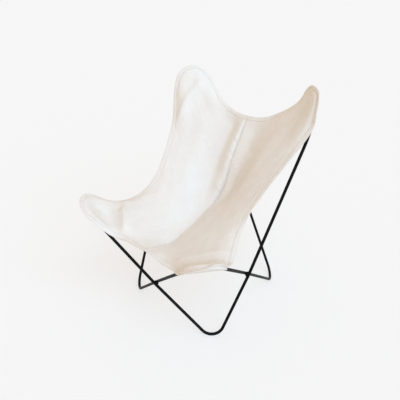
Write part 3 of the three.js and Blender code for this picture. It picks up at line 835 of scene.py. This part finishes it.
HEM_FULLNESS = 0.35
HEM_FULLNESS_WIDTH = 5.0
HEM_PUCKER = 0.3
HEM_PUCKER_WIDTH = 8.0
HEM_PUCKER_PITCHES = (2.3, 3.7, 8.3)
LOOSE_OUT = 25.0
FACING_SPAN = (22.0, 34.0)
ROLL_SPAN = (3.0, 10.0)
POCKET_SPAN = (100.0, 150.0)
# Shares of the way from front to top, and how far out from the seam a fold lies there
REAR_FOLD_LINE = ((0.7, 0.765, 0.886, 0.965), (352, 337, 314, 302))
RIGHT_RIDGE_TOP = ((0.53, 0.68, 0.78, 0.9, 1.0), (14, 19, 17, 11, 8))
RIGHT_RIDGE_WIDTH = ((0.5, 0.6, 0.72, 1.0), (44, 58, 66, 54))
LEFT_RIDGE_FOOT = ((0.55, 0.7, 0.8, 1.0), (44, 54, 66, 62))
# Distances past an ear's tip, and how far inside the edge the hem's stitches lie there
FRONT_INSETS = ((-180, -130, 0, 94, 150, 214), (HEM_STITCH, 15, 14, 13, 10, HEM_STITCH))
REAR_INSETS = ((-190, -150, 0, 30, 80, 150, 220), (HEM_STITCH, 12, 12, 10, 9, 7, HEM_STITCH))
CLOTH_OFF_ROD = ROD_RADIUS + CANVAS / 2 + 0.2
FACING_UNDER = TAPE_CANVAS + 0.3
ROLL_UNDER = 1.1


def wave_set(seed, size, count=12):
    waves = np.random.default_rng(seed)
    turn, start = waves.uniform(0, 2 * math.pi, (2, count))
    pitch = 2 * math.pi / (size * waves.uniform(0.7, 1.6, count))
    return np.stack([pitch * np.cos(turn), pitch * np.sin(turn), start], axis=-1)


def ripple(waves, x, y):
    """Soft uneven ripples, mostly between -1 and 1."""
    total = sum(np.sin(a * x + b * y + c) for a, b, c in waves)
    return total / math.sqrt(len(waves))


broad_waves = {LEFT: wave_set(3, 80), RIGHT: wave_set(4, 80)}
small_waves = {LEFT: wave_set(5, 26), RIGHT: wave_set(6, 26)}


def uneven(x, pitches):
    """Waves of several lengths together, as in cloth that is drawn in by its stitches."""
    return sum(np.sin(x / pitch + k) for k, pitch in enumerate(pitches))


def crest(off, before, after):
    """A fold's profile: 1 at its crest, falling away over one width before it and one after it."""
    share = off / np.where(off < 0, before, after)
    return np.exp(0.4 - 2 * np.sqrt(share**2 + 0.04))


def dip(off, before, after):
    """A round hollow's profile: 1 at its deepest, with a width before it and one after it."""
    return bell(off, np.where(off < 0, before, after))


def stitch_inset(reach):
    """How far inside the edge the hem is sewn: less round the ears, to clear the rods."""
    past_front = reach - half_width
    past_rear = past_front - side_length
    return np.minimum(np.interp(past_front, *FRONT_INSETS), np.interp(past_rear, *REAR_INSETS))


def over_ear(place, far, reach, ear, drop, hollow):
    """The cloth of an ear hangs hollow between the rods, and slopes from them to its flat rim."""
    off_tip = place - on_bend(ear, 0)
    down = -dot(off_tip, ear["tip"])
    distance = np.linalg.norm(off_tip, axis=-1)
    outside = outside_rod(ear, place)
    width = np.maximum(outside + far - stitch_inset(reach), RIM_LEAST)
    slope = smoothstep(outside / width, 0, 1) * fade(down, *EAR_FADE)
    inner = smoothstep(-outside, *HOLLOW_IN) * fade(down, *HOLLOW_DOWN)
    slope = drop * slope * fade(distance, *EAR_ROUND)
    return -slope - hollow * inner * fade(distance, *HOLLOW_ROUND)


def front_ear_folds(place, far, out, side):
    """Where a front ear bends over into the seat, a valley and a sharp ridge cross the cloth."""
    off_tip = place - tip_front
    down = -dot(off_tip, ear_front["tip"])
    aside = dot(off_tip, ear_front["start"])
    to_seam = np.maximum(aside, 0)
    ridge = crest(down - FRONT_RIDGE_DOWN - FRONT_RIDGE_SLANT * to_seam, *FRONT_RIDGE_WIDTHS)
    off_valley = down - FRONT_VALLEY_DOWN[side] - FRONT_VALLEY_SLANT * to_seam
    valley = (dip if side == RIGHT else crest)(off_valley, *FRONT_VALLEY_WIDTHS[side])
    folds = FRONT_RIDGE[side] * ridge - FRONT_VALLEY[side] * valley
    folds = bell(aside - FRONT_FOLD_MIDDLE[side], FRONT_FOLD_SPREAD[side]) * folds
    if side == RIGHT:
        return folds * smoothstep(far, *FRONT_FOLD_INSET)
    # On the left the front edge falls steeply, and the hem hangs over the tip of the ear
    at_front = fade(place[..., 1] - FRONT_MIDDLE[1], *FALL_BACK)
    fall = FRONT_EDGE_FALL * within(out, FALL_START, FALL_END) * at_front * fade(far, *FALL_INSET)
    hang = HEM_HANG * fade(far, *HANG_INSET) * within(aside, HANG_START, HANG_END)
    return folds - np.maximum(fall, hang)


def rear_ear_folds(place, far, out, along, side):
    off_tip = place - tip_rear
    down = -dot(off_tip, ear_rear["tip"])
    aside = dot(off_tip, ear_rear["start"])
    if side == RIGHT:
        # A long fold is drawn from the ear's tip down to its side
        line = np.interp(along, *REAR_FOLD_LINE)
        span = within(along, REAR_FOLD_START, REAR_FOLD_END)
        return REAR_EAR_FOLD * crest(line - out, *REAR_FOLD_WIDTHS) * span
    # The rim curls in at the tip, and falls away from the rod further down
    curl = fade(aside, *CURL_ASIDE) * fade(down, *CURL_DOWN)
    outside = smoothstep(outside_rod(ear_rear, place), *RIM_FALL_OUT)
    fall = outside * within(down, RIM_FALL_START, RIM_FALL_END) * (aside > 0)
    return REAR_TIP_CURL * curl * bell(far, CURL_INSET) - REAR_RIM_FALL * fall


def beside_seam(out, up, along, side):
    """The back bulges in a long ridge beside the tight seam, and the seat rises to the seam."""
    on_back = smoothstep(along, *BACK_START) * (1 - BACK_END_FADE * smoothstep(along, *BACK_END))
    inside = smoothstep(np.minimum(along, 1 - along), *SEAM_FREE_ENDS)
    share = out / FULLNESS_OUT
    seat = SEAT_FULLNESS * share * np.exp(1 - share) * inside * (1 - on_back)
    if side == RIGHT:
        top = np.interp(along, *RIGHT_RIDGE_TOP)
        foot = top + np.interp(along, *RIGHT_RIDGE_WIDTH)
    else:
        top = np.full_like(out, 1e-3)
        foot = np.interp(along, *LEFT_RIDGE_FOOT)
    lift = SEAM_LIFT * within(along, LIFT_START, LIFT_END)
    lift = lift * np.exp(-((out / LIFT_OUT[side]) ** LIFT_POWER[side]))
    rise, fall = RIDGE_RISE[side], RIDGE_FALL[side]
    past_top = (out - top) / (foot - top)
    ridge = rise * smoothstep(out / top, 0, 1) - fall * smoothstep(past_top, 0, 1)
    ridge = ridge + (fall - rise) * smoothstep(out - foot, 0, RIDGE_RETURN)
    slant = up - 0.4 * out + 5 * np.sin(up / 23)
    by_seam = bell(out - 11, 7) + 0.6 * bell(out - 26, 16)
    pucker = (0.6 + 0.4 * np.sin(up / 31 + side)) * uneven(slant, SEAM_PUCKER_PITCHES) * by_seam
    sewn = SEAM_GROOVE * bell(out, SEAM_GROOVE_WIDTH)
    return pucker * inside - sewn - seat + lift + ridge * on_back


def along_hem(far, reach):
    """The hem is a little fuller than the cloth, and drawn in along its stitches."""
    inset = stitch_inset(reach)
    groove = HEM_GROOVE * bell(far - inset, HEM_GROOVE_WIDTH)
    rim = HEM_FULLNESS * bell(far - inset / 2, HEM_FULLNESS_WIDTH)
    pucker = HEM_PUCKER * uneven(reach, HEM_PUCKER_PITCHES) * bell(far - inset, HEM_PUCKER_WIDTH)
    return rim - groove + pucker


def rod_line(bends):
    """Points along the middle of a rod loop, about 2 mm apart."""
    turns = [
        on_bend(bend, np.linspace(bend["reach"], -bend["reach"], 60)) for bend in bends.values()
    ]
    line = edge_path(*turns, turns[0][:1].repeat(2, axis=0))
    return on_path(line, np.linspace(0, 1, int(line["length"] / 2)))


rod_tree = search_tree(np.vstack([rod_line(right_loop), rod_line(left_loop)]))


def lift_off_rods(points, up, off):
    """Moves points that are inside a rod, or too near it, up to lie on it."""
    flat, way = points.reshape(-1, 3).copy(), up.reshape(-1, 3)
    off = np.broadcast_to(off, points.shape[:-1]).ravel()
    for k, p in enumerate(flat):
        middle, _, distance = rod_tree.find(p)
        if distance < off[k]:
            gap = p - np.array(middle)
            height = gap @ way[k]
            aside = distance**2 - height**2
            flat[k] = p + way[k] * (math.sqrt(max(0, off[k] ** 2 - aside)) - height)
    return flat.reshape(points.shape)


def cloth_point(across, along, side):
    """A point of the hanging cloth of one half, drawn on the left."""
    place = tight_point(across, along)
    far, reach = from_edge(place)
    out = across * half_width
    up = along * seam_line["length"]
    height = beside_seam(out, up, along, side) + along_hem(far, reach)
    height = height + front_ear_folds(place, far, out, side)
    height = height + rear_ear_folds(place, far, out, along, side)
    for name, ear in (("front", ear_front), ("rear", ear_rear)):
        height = height + over_ear(place, far, reach, ear, EAR_DROP[name], EAR_HOLLOW[name])
    loose = smoothstep(out, 0, LOOSE_OUT)
    height = height + loose * ripple(broad_waves[side], out, up) * BROAD_RIPPLE
    height = height + loose * ripple(small_waves[side], out, up) * SMALL_RIPPLE
    facing = tight_normal(across, along, place)
    to_tip = np.minimum(np.abs(reach - half_width), np.abs(reach - half_width - side_length))
    hem = FACING_UNDER * fade(far, *FACING_SPAN)
    hem = hem + ROLL_UNDER * fade(far, *ROLL_SPAN)
    off_rod = CLOTH_OFF_ROD + hem * smoothstep(to_tip, *POCKET_SPAN)
    return lift_off_rods(place + facing * height[..., None], facing, off_rod)


# Cloth pieces


def new_piece(name, points, faces):
    mesh = bpy.data.meshes.new(name)
    mesh.from_pydata(in_frame(points).tolist(), [], faces)
    piece = bpy.data.objects.new(name, mesh)
    bpy.context.scene.collection.objects.link(piece)
    bpy.ops.object.select_all(action="DESELECT")
    piece.select_set(True)
    bpy.context.view_layer.objects.active = piece
    return piece, mesh


def face_corners(mesh):
    corners = np.empty(len(mesh.loops), int)
    mesh.loops.foreach_get("vertex_index", corners)
    return corners


def cloth_piece(name, points, faces, flat, finish, thickness, soil_and_shade=None):
    """A sheet of cloth from points in its middle, with its cutting pattern in metres."""
    piece, mesh = new_piece(name, points, faces.tolist())
    mesh.shade_smooth()
    layer = mesh.uv_layers.new(name="flat")
    layer.uv.foreach_set("vector", np.asarray(flat, np.float32)[face_corners(mesh)].ravel())
    marks = mesh.attributes.new("soil_and_shade", "FLOAT", "POINT")
    marks.data.foreach_set("value", np.zeros(len(points)) if soil_and_shade is None else soil_and_shade.ravel())
    mesh.materials.append(finish)
    wall = piece.modifiers.new("cloth", "SOLIDIFY")
    wall.thickness = thickness / 1000
    wall.offset = 0
    bpy.ops.object.modifier_apply(modifier=wall.name)
    return piece


def grid_corners(grid):
    rows, columns = grid.shape[:2]
    return np.arange(rows * columns).reshape(rows, columns)


def grid_faces(grid):
    corner = grid_corners(grid)
    quads = (corner[:-1, :-1], corner[:-1, 1:], corner[1:, 1:], corner[1:, :-1])
    return np.stack(quads, axis=-1).reshape(-1, 4)


def grid_pattern(grid):
    """The cutting pattern of a strip or pocket: lengths across and along it, in metres."""
    across = np.linalg.norm(np.diff(grid, axis=1), axis=-1)
    along = np.linalg.norm(np.diff(grid, axis=0), axis=-1)
    across = np.pad(np.cumsum(across, axis=1), ((0, 0), (1, 0)))
    along = np.pad(np.cumsum(along, axis=0), ((1, 0), (0, 0)))
    across = across - across[:, -1:] / 2
    return np.stack([across, along], axis=-1).reshape(-1, 2) / 1000


def grid_facing(grid):
    return facing_of(grid, np.gradient(grid, axis=1), np.gradient(grid, axis=0))


def turned_over(points, faces, side):
    """What is drawn on the left goes over to its own side."""
    if side == LEFT:
        return points, faces
    return mirrored(points), faces[:, ::-1]


# The two halves of the sling, in cells that are closer together near the seam and the ears

CELL = 4.6
SEAM_CELL = 1.5
EAR_CELL = 2.2
SEAM_CLOSE = 22.0
EAR_CLOSE = 105.0
CELL_GROWTH = 0.25


def close_steps(length, start_close, start_step, end_close, end_step):
    """Places along a length as shares of it, closer together near its ends."""
    places = [0.0]
    while places[-1] < length:
        here = places[-1]
        from_start = start_step + CELL_GROWTH * max(0, here - start_close)
        from_end = end_step + CELL_GROWTH * max(0, length - here - end_close)
        places.append(here + min(CELL, from_start, from_end))
    return np.array(places) / places[-1]


across_steps = close_steps(half_width, SEAM_CLOSE, SEAM_CELL, EAR_CLOSE, EAR_CELL)
along_half = close_steps(side_length / 2, EAR_CLOSE, EAR_CELL, 0, CELL)
along_steps = np.r_[along_half / 2, 1 - along_half[-2::-1] / 2]
across_grid, along_grid = np.meshgrid(across_steps, along_steps)
panel_grids = {side: cloth_point(across_grid, along_grid, side) for side in (LEFT, RIGHT)}


def edge_chain(grid):
    """The corners of a grid along its front, side and top edges, in order."""
    corner = grid_corners(grid)
    return np.r_[corner[0], corner[1:, -1], corner[-1, -2::-1]]


panel_chain = edge_chain(across_grid)


def rim_of(grid):
    """The outer edge of a panel, and its ways up and outward there."""
    up = grid_facing(grid).reshape(-1, 3)[panel_chain]
    edge = grid.reshape(-1, 3)[panel_chain]
    return edge, up, unit(np.cross(np.gradient(edge, axis=0), up))


def roll_edge(grid):
    """Points of a panel whose outer edge is rolled under, and its faces."""
    edge, up, out = rim_of(grid)
    points = [grid.reshape(-1, 3)]
    faces = [grid_faces(grid)]
    inner = panel_chain
    for angle in np.radians(EDGE_ROLL_STEPS):
        outer = sum(map(len, points)) + np.arange(len(edge))
        faces.append(np.stack([inner[:-1], outer[:-1], outer[1:], inner[1:]], axis=-1))
        points.append(edge + EDGE_ROLL * (out * math.sin(angle) - up * (1 - math.cos(angle))))
        inner = outer
    return np.vstack(points), np.vstack(faces)


def lay_flat(grid):
    """The half sling's cutting pattern in metres, found by unwrapping, with the seam upright."""
    faces = grid_faces(grid)
    piece, mesh = new_piece("pattern", grid.reshape(-1, 3), faces.tolist())
    mesh.uv_layers.new(name="flat")
    bpy.ops.object.mode_set(mode="EDIT")
    bpy.ops.mesh.select_all(action="SELECT")
    bpy.ops.uv.unwrap(method="MINIMUM_STRETCH", correct_aspect=False, iterations=20)
    bpy.ops.object.mode_set(mode="OBJECT")
    corners = face_corners(mesh)
    found = np.empty(2 * len(corners), np.float32)
    mesh.uv_layers["flat"].uv.foreach_get("vector", found)
    bpy.data.objects.remove(piece)
    bpy.data.meshes.remove(mesh)
    flat = np.zeros((grid.shape[0] * grid.shape[1], 2))
    flat[corners] = found.reshape(-1, 2)
    flat = flat.reshape(*grid.shape[:2], 2) - flat[0]
    up = flat[-1, 0] / np.linalg.norm(flat[-1, 0])
    flat = np.stack([flat @ np.array([up[1], -up[0]]), flat @ up], axis=-1)
    flat[..., 0] *= np.sign(flat[0, -1, 0])
    sewn = np.linalg.norm(np.diff(grid[:, 0], axis=0), axis=1).sum() / 1000
    return flat * sewn / np.linalg.norm(np.diff(flat[:, 0], axis=0), axis=1).sum()


def soiled_and_shaded(across, along):
    """How much the cloth is darkened: soil along its edge, and painted shade in the grooves of its
    hem stitches and its seam.
    """
    far, reach = from_edge(tight_point(across, along))
    edge = 0.5 * np.exp(-far / 3) + 0.4 * bell(far - stitch_inset(reach), 1.6)
    return edge + 0.35 * bell(across * half_width, 2.5)


rolls = len(EDGE_ROLL_STEPS)
# Soil along the edge, and painted shade along the stitch and seam grooves
panel_soil_and_shade = soiled_and_shaded(across_grid, along_grid).ravel()
panel_soil_and_shade = np.hstack([panel_soil_and_shade, *[panel_soil_and_shade[panel_chain]] * rolls])
pattern = lay_flat(film[::2, ::2])
panel_flat = between(pattern, across_grid, along_grid).reshape(-1, 2)
panel_flat = np.vstack([panel_flat, *[panel_flat[panel_chain]] * rolls])
side_names = {LEFT: "left", RIGHT: "right"}
for side, grid in panel_grids.items():
    points, faces = turned_over(*roll_edge(grid), side)
    flat = panel_flat * np.array([side, 1])
    name = "sling_" + side_names[side]
    panel = cloth_piece(name, points, faces, flat, panel_canvas, CANVAS, panel_soil_and_shade)
    settle(panel, "sling_panel_" + side_names[side])

# Strips sewn to the underside

STRIP_CELLS = 9
END_STRIP_CELLS = 60
SIDE_STRIP_CELLS = 150
TAPE_CELLS = 220
strip_drop = CANVAS / 2 + SEWN_GAP + TAPE_CANVAS / 2


def strip_grid(across, along, side):
    grid = cloth_point(across, along, side)
    return grid - grid_facing(grid) * strip_drop


def sew_strip(name, grid, node):
    flat = grid_pattern(grid)
    faces = grid_faces(grid)
    piece = cloth_piece(name, grid.reshape(-1, 3), faces, flat, strip_canvas, TAPE_CANVAS)
    settle(piece, node)


def sew_over_both(name, across, along, node):
    """A strip that runs over both halves, from the right over the seam to the left."""
    across, along = np.meshgrid(across, along)
    left = strip_grid(across, along, LEFT)
    right = strip_grid(across, along, RIGHT)
    middle = (left[:, :1] + right[:, :1]) / 2 * point(0, 1, 1)
    grid = np.hstack([mirrored(right[:, :0:-1]), middle, left[:, 1:]])
    sew_strip(name, grid, node)


clear_of_pocket = POCKET_REACH + FACING_WIDTH / 2
hem_steps = np.linspace(FACING_INSET, FACING_WIDTH, STRIP_CELLS)
end_steps = hem_steps / side_length
front_steps = np.linspace(0, 1 - clear_of_pocket / half_width, END_STRIP_CELLS)
sew_over_both("hem_facing_front", front_steps, end_steps, "facing_front")
top_steps = np.linspace(0, 1 - clear_of_pocket / top_edge["length"], END_STRIP_CELLS)
sew_over_both("hem_facing_top", top_steps, 1 - end_steps[::-1], "facing_top")
reach_side = clear_of_pocket / side_length
side_steps = np.linspace(reach_side, 1 - reach_side, SIDE_STRIP_CELLS)
across, along = np.meshgrid(1 - (hem_steps / half_width)[::-1], side_steps)
for side, word in side_names.items():
    grid = strip_grid(across, along, side)
    if side == RIGHT:
        grid = mirrored(grid[:, ::-1])
    sew_strip("hem_facing_" + word, grid, "facing_" + word)
tape_steps = np.linspace(0, SEAM_TAPE_WIDTH / 2, STRIP_CELLS) / half_width
ends = (FACING_WIDTH + 1) / side_length
seam_steps = np.linspace(ends, 1 - ends, TAPE_CELLS)
sew_over_both("middle_seam_tape", tape_steps, seam_steps, "seam_tape")


# Pockets, sewn to the outer side of the ears

POCKET_DOWN = 44
POCKET_ACROSS = 72
POCKET_START = 0.004


def pocket_grid(ear, edge, at_rear, side):
    down, share = np.meshgrid(
        np.linspace(0, 1, POCKET_DOWN + 1), np.linspace(0, 1, POCKET_ACROSS + 1), indexing="ij"
    )
    down = np.maximum(down, POCKET_START)
    across = 1 - down * POCKET_REACH / edge["length"] * (1 - share)
    along = down * POCKET_REACH / side_length * share
    along = 1 - along if at_rear else along
    far, reach = from_edge(tight_point(across, along))
    cloth = cloth_point(across, along, side)
    height = dot(cloth - ear["rod_centre"], ear["normal"])
    outside = ROD_RADIUS + CLEARANCE + POCKET_CANVAS / 2
    rim = height - (CANVAS + POCKET_CANVAS) / 2 - SEWN_GAP
    inset = stitch_inset(reach)
    sewn = fade(far, inset - 1, inset + 5)
    hang = rim * sewn - outside * (1 - sewn)
    grid = cloth + ear["normal"] * (np.minimum(hang, rim) - height)[..., None]
    outward = np.broadcast_to(-ear["normal"], grid.shape)
    off_rod = (outside + SEWN_GAP) * smoothstep(far, 2, 4)
    grid = lift_off_rods(grid, outward, off_rod)
    return grid[:, ::-1] if at_rear else grid


pocket_grids = {}


def sew_pockets(name, ear, edge, at_rear):
    for side, word in side_names.items():
        grid = pocket_grid(ear, edge, at_rear, side)
        flat = grid_pattern(grid)
        points, faces = turned_over(grid.reshape(-1, 3), grid_faces(grid), side)
        flat = flat * np.array([side, 1])
        own = f"{name}_{word}"
        piece = cloth_piece(own + "_cloth", points, faces, flat, pocket_canvas, POCKET_CANVAS)
        settle(piece, own)
        pocket_grids[name, word] = grid


sew_pockets("pocket_front", ear_front, front_edge, False)
sew_pockets("pocket_rear", ear_rear, top_edge, True)


# Stitching

THREAD_WIDTH = 0.9
THREAD_HEIGHT = 0.7
STITCH_LENGTH = 3.3
STITCH_PITCH = 4.4
STITCH_ABOVE = 0.1
POCKET_HEM = 9.0
THREAD_OFF_ROD = ROD_RADIUS + 1.0
SEAM_END = 0.004
SEAM_ROW_STEPS = 400
# How far from the cloth a row starts, before it is laid on the nearest face that looks its way
START_ABOVE = 3.0
START_BELOW = 5.0
START_OUTSIDE = 4.0
LEAST_AGREEMENT = 0.2


def model_stitch():
    """One stitch, a short thread that dips into the cloth at both ends, lying along X with Z up."""
    bpy.ops.object.select_all(action="DESELECT")
    bpy.ops.mesh.primitive_uv_sphere_add(
        segments=6, ring_count=7, radius=0.5, rotation=(0, math.pi / 2, 0)
    )
    piece = start_piece("stitch")
    bpy.ops.transform.resize(value=(STITCH_LENGTH, THREAD_WIDTH, THREAD_HEIGHT))
    bpy.ops.mesh.select_all(action="DESELECT")
    bpy.ops.object.mode_set(mode="OBJECT")
    for corner in piece.data.vertices:
        corner.select = abs(corner.co.x) > 0.4 * STITCH_LENGTH
    bpy.ops.object.mode_set(mode="EDIT")
    bpy.ops.transform.translate(value=(0, 0, -0.35 * THREAD_HEIGHT))
    end_piece(piece, cotton_thread, math.pi)
    points = np.array([corner.co for corner in piece.data.vertices])
    faces = [list(face.vertices) for face in piece.data.polygons]
    mesh = piece.data
    bpy.data.objects.remove(piece)
    bpy.data.meshes.remove(mesh)
    return points, faces


stitch_points, stitch_faces = model_stitch()


def lay_stitches(line, up):
    """Places of the stitches along a line on the cloth: middles, ways along and ways up."""
    steps = reach_along(line)
    at = np.arange(STITCH_PITCH, steps[-1] - STITCH_PITCH / 2, STITCH_PITCH)

    def along_line(table, places):
        return np.stack([np.interp(places, steps, axis) for axis in table.T], axis=-1)

    middle = along_line(line, at)
    way = unit(along_line(line, at + STITCH_LENGTH / 2) - along_line(line, at - STITCH_LENGTH / 2))
    return middle, way, unit(along_line(up, at))


def sew_thread(name, rows):
    """One piece of thread with all its stitches, on the faces of the cloth that the rows lie on."""
    points, faces = [], []
    for line, up in rows:
        for middle, way, above in zip(*lay_stitches(line, up)):
            if rod_tree.find(middle)[2] < THREAD_OFF_ROD:
                continue
            side = unit(np.cross(above, way))
            above = np.cross(way, side)
            start = len(points) * len(stitch_points)
            turned = stitch_points @ np.stack([way, side, above])
            points.append(middle + above * STITCH_ABOVE + turned)
            faces.extend([start + corner for corner in face] for face in stitch_faces)
    thread, mesh = new_piece(name, np.vstack(points), faces)
    mesh.shade_smooth()
    mesh.materials.append(cotton_thread)
    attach(thread, "root")


def surface_of(names):
    """All faces of some pieces, to lay stitches on."""
    points, faces = [], []
    for name in names:
        mesh = bpy.data.objects[name].data
        faces.extend([len(points) + corner for corner in face.vertices] for face in mesh.polygons)
        points.extend(corner.co.copy() for corner in mesh.vertices)
    return BVHTree.FromPolygons(points, faces)


def onto(surface, places, up):
    """The places on a surface that are nearest to some places, and the ways that they face."""
    found = [surface.find_nearest(Vector(p)) for p in in_frame(places)]
    line = np.array([f[0] for f in found]) * 1000 - point(0, DEPTH_SHIFT, 0)
    facing = np.array([f[1] for f in found])
    facing = np.where((dot(facing, up) < LEAST_AGREEMENT)[:, None], up, facing)
    return line, facing


edge_places = tight_point(across_grid, along_grid).reshape(-1, 3)[panel_chain]
edge_inset = stitch_inset(from_edge(edge_places)[1])[:, None]
for side, word in side_names.items():
    edge, up, out = rim_of(panel_grids[side])
    flip = point(side, 1, 1)
    row, up = (edge - out * edge_inset) * flip, up * flip
    ear_cloth = [f"pocket_front_{word}_cloth", f"pocket_rear_{word}_cloth"]
    under = ["hem_facing_front", "hem_facing_top", "hem_facing_" + word, *ear_cloth]
    rows = [
        onto(surface_of(["sling_" + word]), row + up * START_ABOVE, up),
        onto(surface_of(under), row - up * START_BELOW, -up),
    ]
    along = np.linspace(SEAM_END, 1 - SEAM_END, SEAM_ROW_STEPS)
    across = np.full_like(along, SEAM_STITCH / half_width)
    seam_row = cloth_point(across, along, side) * flip
    seam_up = tight_normal(across, along, tight_point(across, along)) * flip
    rows.append((seam_row + seam_up * CANVAS / 2, seam_up))
    below = (seam_row - seam_up * START_BELOW)[8:-8]
    rows.append(onto(surface_of(["middle_seam_tape"]), below, -seam_up[8:-8]))
    sew_thread("hem_and_seam_thread_" + word, rows)
    for name in ("pocket_front", "pocket_rear"):
        grid = pocket_grids[name, word]
        row = grid[round(POCKET_DOWN * (1 - POCKET_HEM / POCKET_REACH))]
        outward = -(ear_front if name == "pocket_front" else ear_rear)["normal"]
        way = np.broadcast_to(outward * flip, row.shape)[2:-2]
        pocket = surface_of([f"{name}_{word}_cloth"])
        mouth = onto(pocket, row[2:-2] * flip + way * START_OUTSIDE, way)
        sew_thread(f"{name}_{word}_thread", [mouth])

# Camera, light and floor

VIEW_TURN = math.radians(40.689)
VIEW_RISE = math.radians(29.398)
VIEW_DISTANCE = 1.7043
VIEW_TARGET = Vector(in_frame((0, 93, 401)))
SENSOR_WIDTH = 36
LENS = 36.117
VIEW_SHIFT = (-0.0384, 0.0073)
LAMP_TURN = math.radians(73)
LAMP_RISE = math.radians(41)
LAMP_SPREAD = math.radians(60)
LAMP_STRENGTH = 2.76
LAMP_TONE = (0.41, 0.674, 1.0)
ROOM_TONE = (1.0, 0.825, 0.615, 1)
ROOM_STRENGTH = 0.8
BACKDROP = (0.92, 0.92, 0.92, 1)
FLOOR_TONE = (0.9, 0.885, 0.87, 1)
FLOOR_RADIUS = 40
FLOOR_GLOW = 0.65


def towards(turn, rise):
    """A direction, turned from the front towards the sitter's left, and raised."""
    level = math.cos(rise)
    return Vector((math.sin(turn) * level, -math.cos(turn) * level, math.sin(rise)))


back = towards(VIEW_TURN, VIEW_RISE)
camera = bpy.data.objects.new("camera", bpy.data.cameras.new("camera"))
bpy.context.scene.collection.objects.link(camera)
camera.location = VIEW_TARGET + back * VIEW_DISTANCE
camera.rotation_euler = (-back).to_track_quat("-Z", "Y").to_euler()
camera.data.sensor_width = SENSOR_WIDTH
camera.data.lens = LENS
camera.data.shift_x, camera.data.shift_y = VIEW_SHIFT
bpy.context.scene.camera = camera


def seen_rays(tree):
    """1 where a surface is seen, straight or in a reflection, and 0 where it only gives light."""
    path = put(tree, "LightPath")
    seen = reckon(tree, "MAXIMUM", path.outputs["Is Camera Ray"], path.outputs["Is Glossy Ray"])
    return reckon(tree, "MAXIMUM", seen, path.outputs["Is Transmission Ray"])


bpy.ops.object.select_all(action="DESELECT")
bpy.ops.mesh.primitive_circle_add(
    vertices=64, radius=FLOOR_RADIUS, fill_type="NGON", location=(0, 0, 0)
)
floor = bpy.context.object
floor.name = "floor"
floor_finish, tree, surface = new_finish("pale_floor", 1.0)
surface.inputs["Base Color"].default_value = FLOOR_TONE
surface.inputs["Specular IOR Level"].default_value = 0.0
glow = put(tree, "Emission", {"Color": BACKDROP, "Strength": 1.0})
share = reckon(tree, "MULTIPLY", seen_rays(tree), FLOOR_GLOW)
both = put(tree, "MixShader", {0: share, 1: surface.outputs[0], 2: glow.outputs[0]})
feed(tree, tree.nodes["Material Output"].inputs["Surface"], both.outputs[0])
floor.data.materials.append(floor_finish)

sun = bpy.data.objects.new("window_light", bpy.data.lights.new("window_light", "SUN"))
bpy.context.scene.collection.objects.link(sun)
sun.data.energy = LAMP_STRENGTH
sun.data.angle = LAMP_SPREAD
sun.data.color = LAMP_TONE
sun.rotation_euler = towards(LAMP_TURN, LAMP_RISE).to_track_quat("Z", "Y").to_euler()

room = bpy.data.worlds.new("room")
bpy.context.scene.world = room
room.use_nodes = True
tree = room.node_tree
tree.nodes.clear()
soft = put(tree, "Background", {"Color": ROOM_TONE, "Strength": ROOM_STRENGTH})
seen = put(tree, "Background", {"Color": BACKDROP, "Strength": 1.0})
both = put(tree, "MixShader", {0: seen_rays(tree), 1: soft.outputs[0], 2: seen.outputs[0]})
put(tree, "OutputWorld", {0: both.outputs[0]})

bpy.context.scene.view_settings.view_transform = "Standard"

bpy.context.view_layer.update()
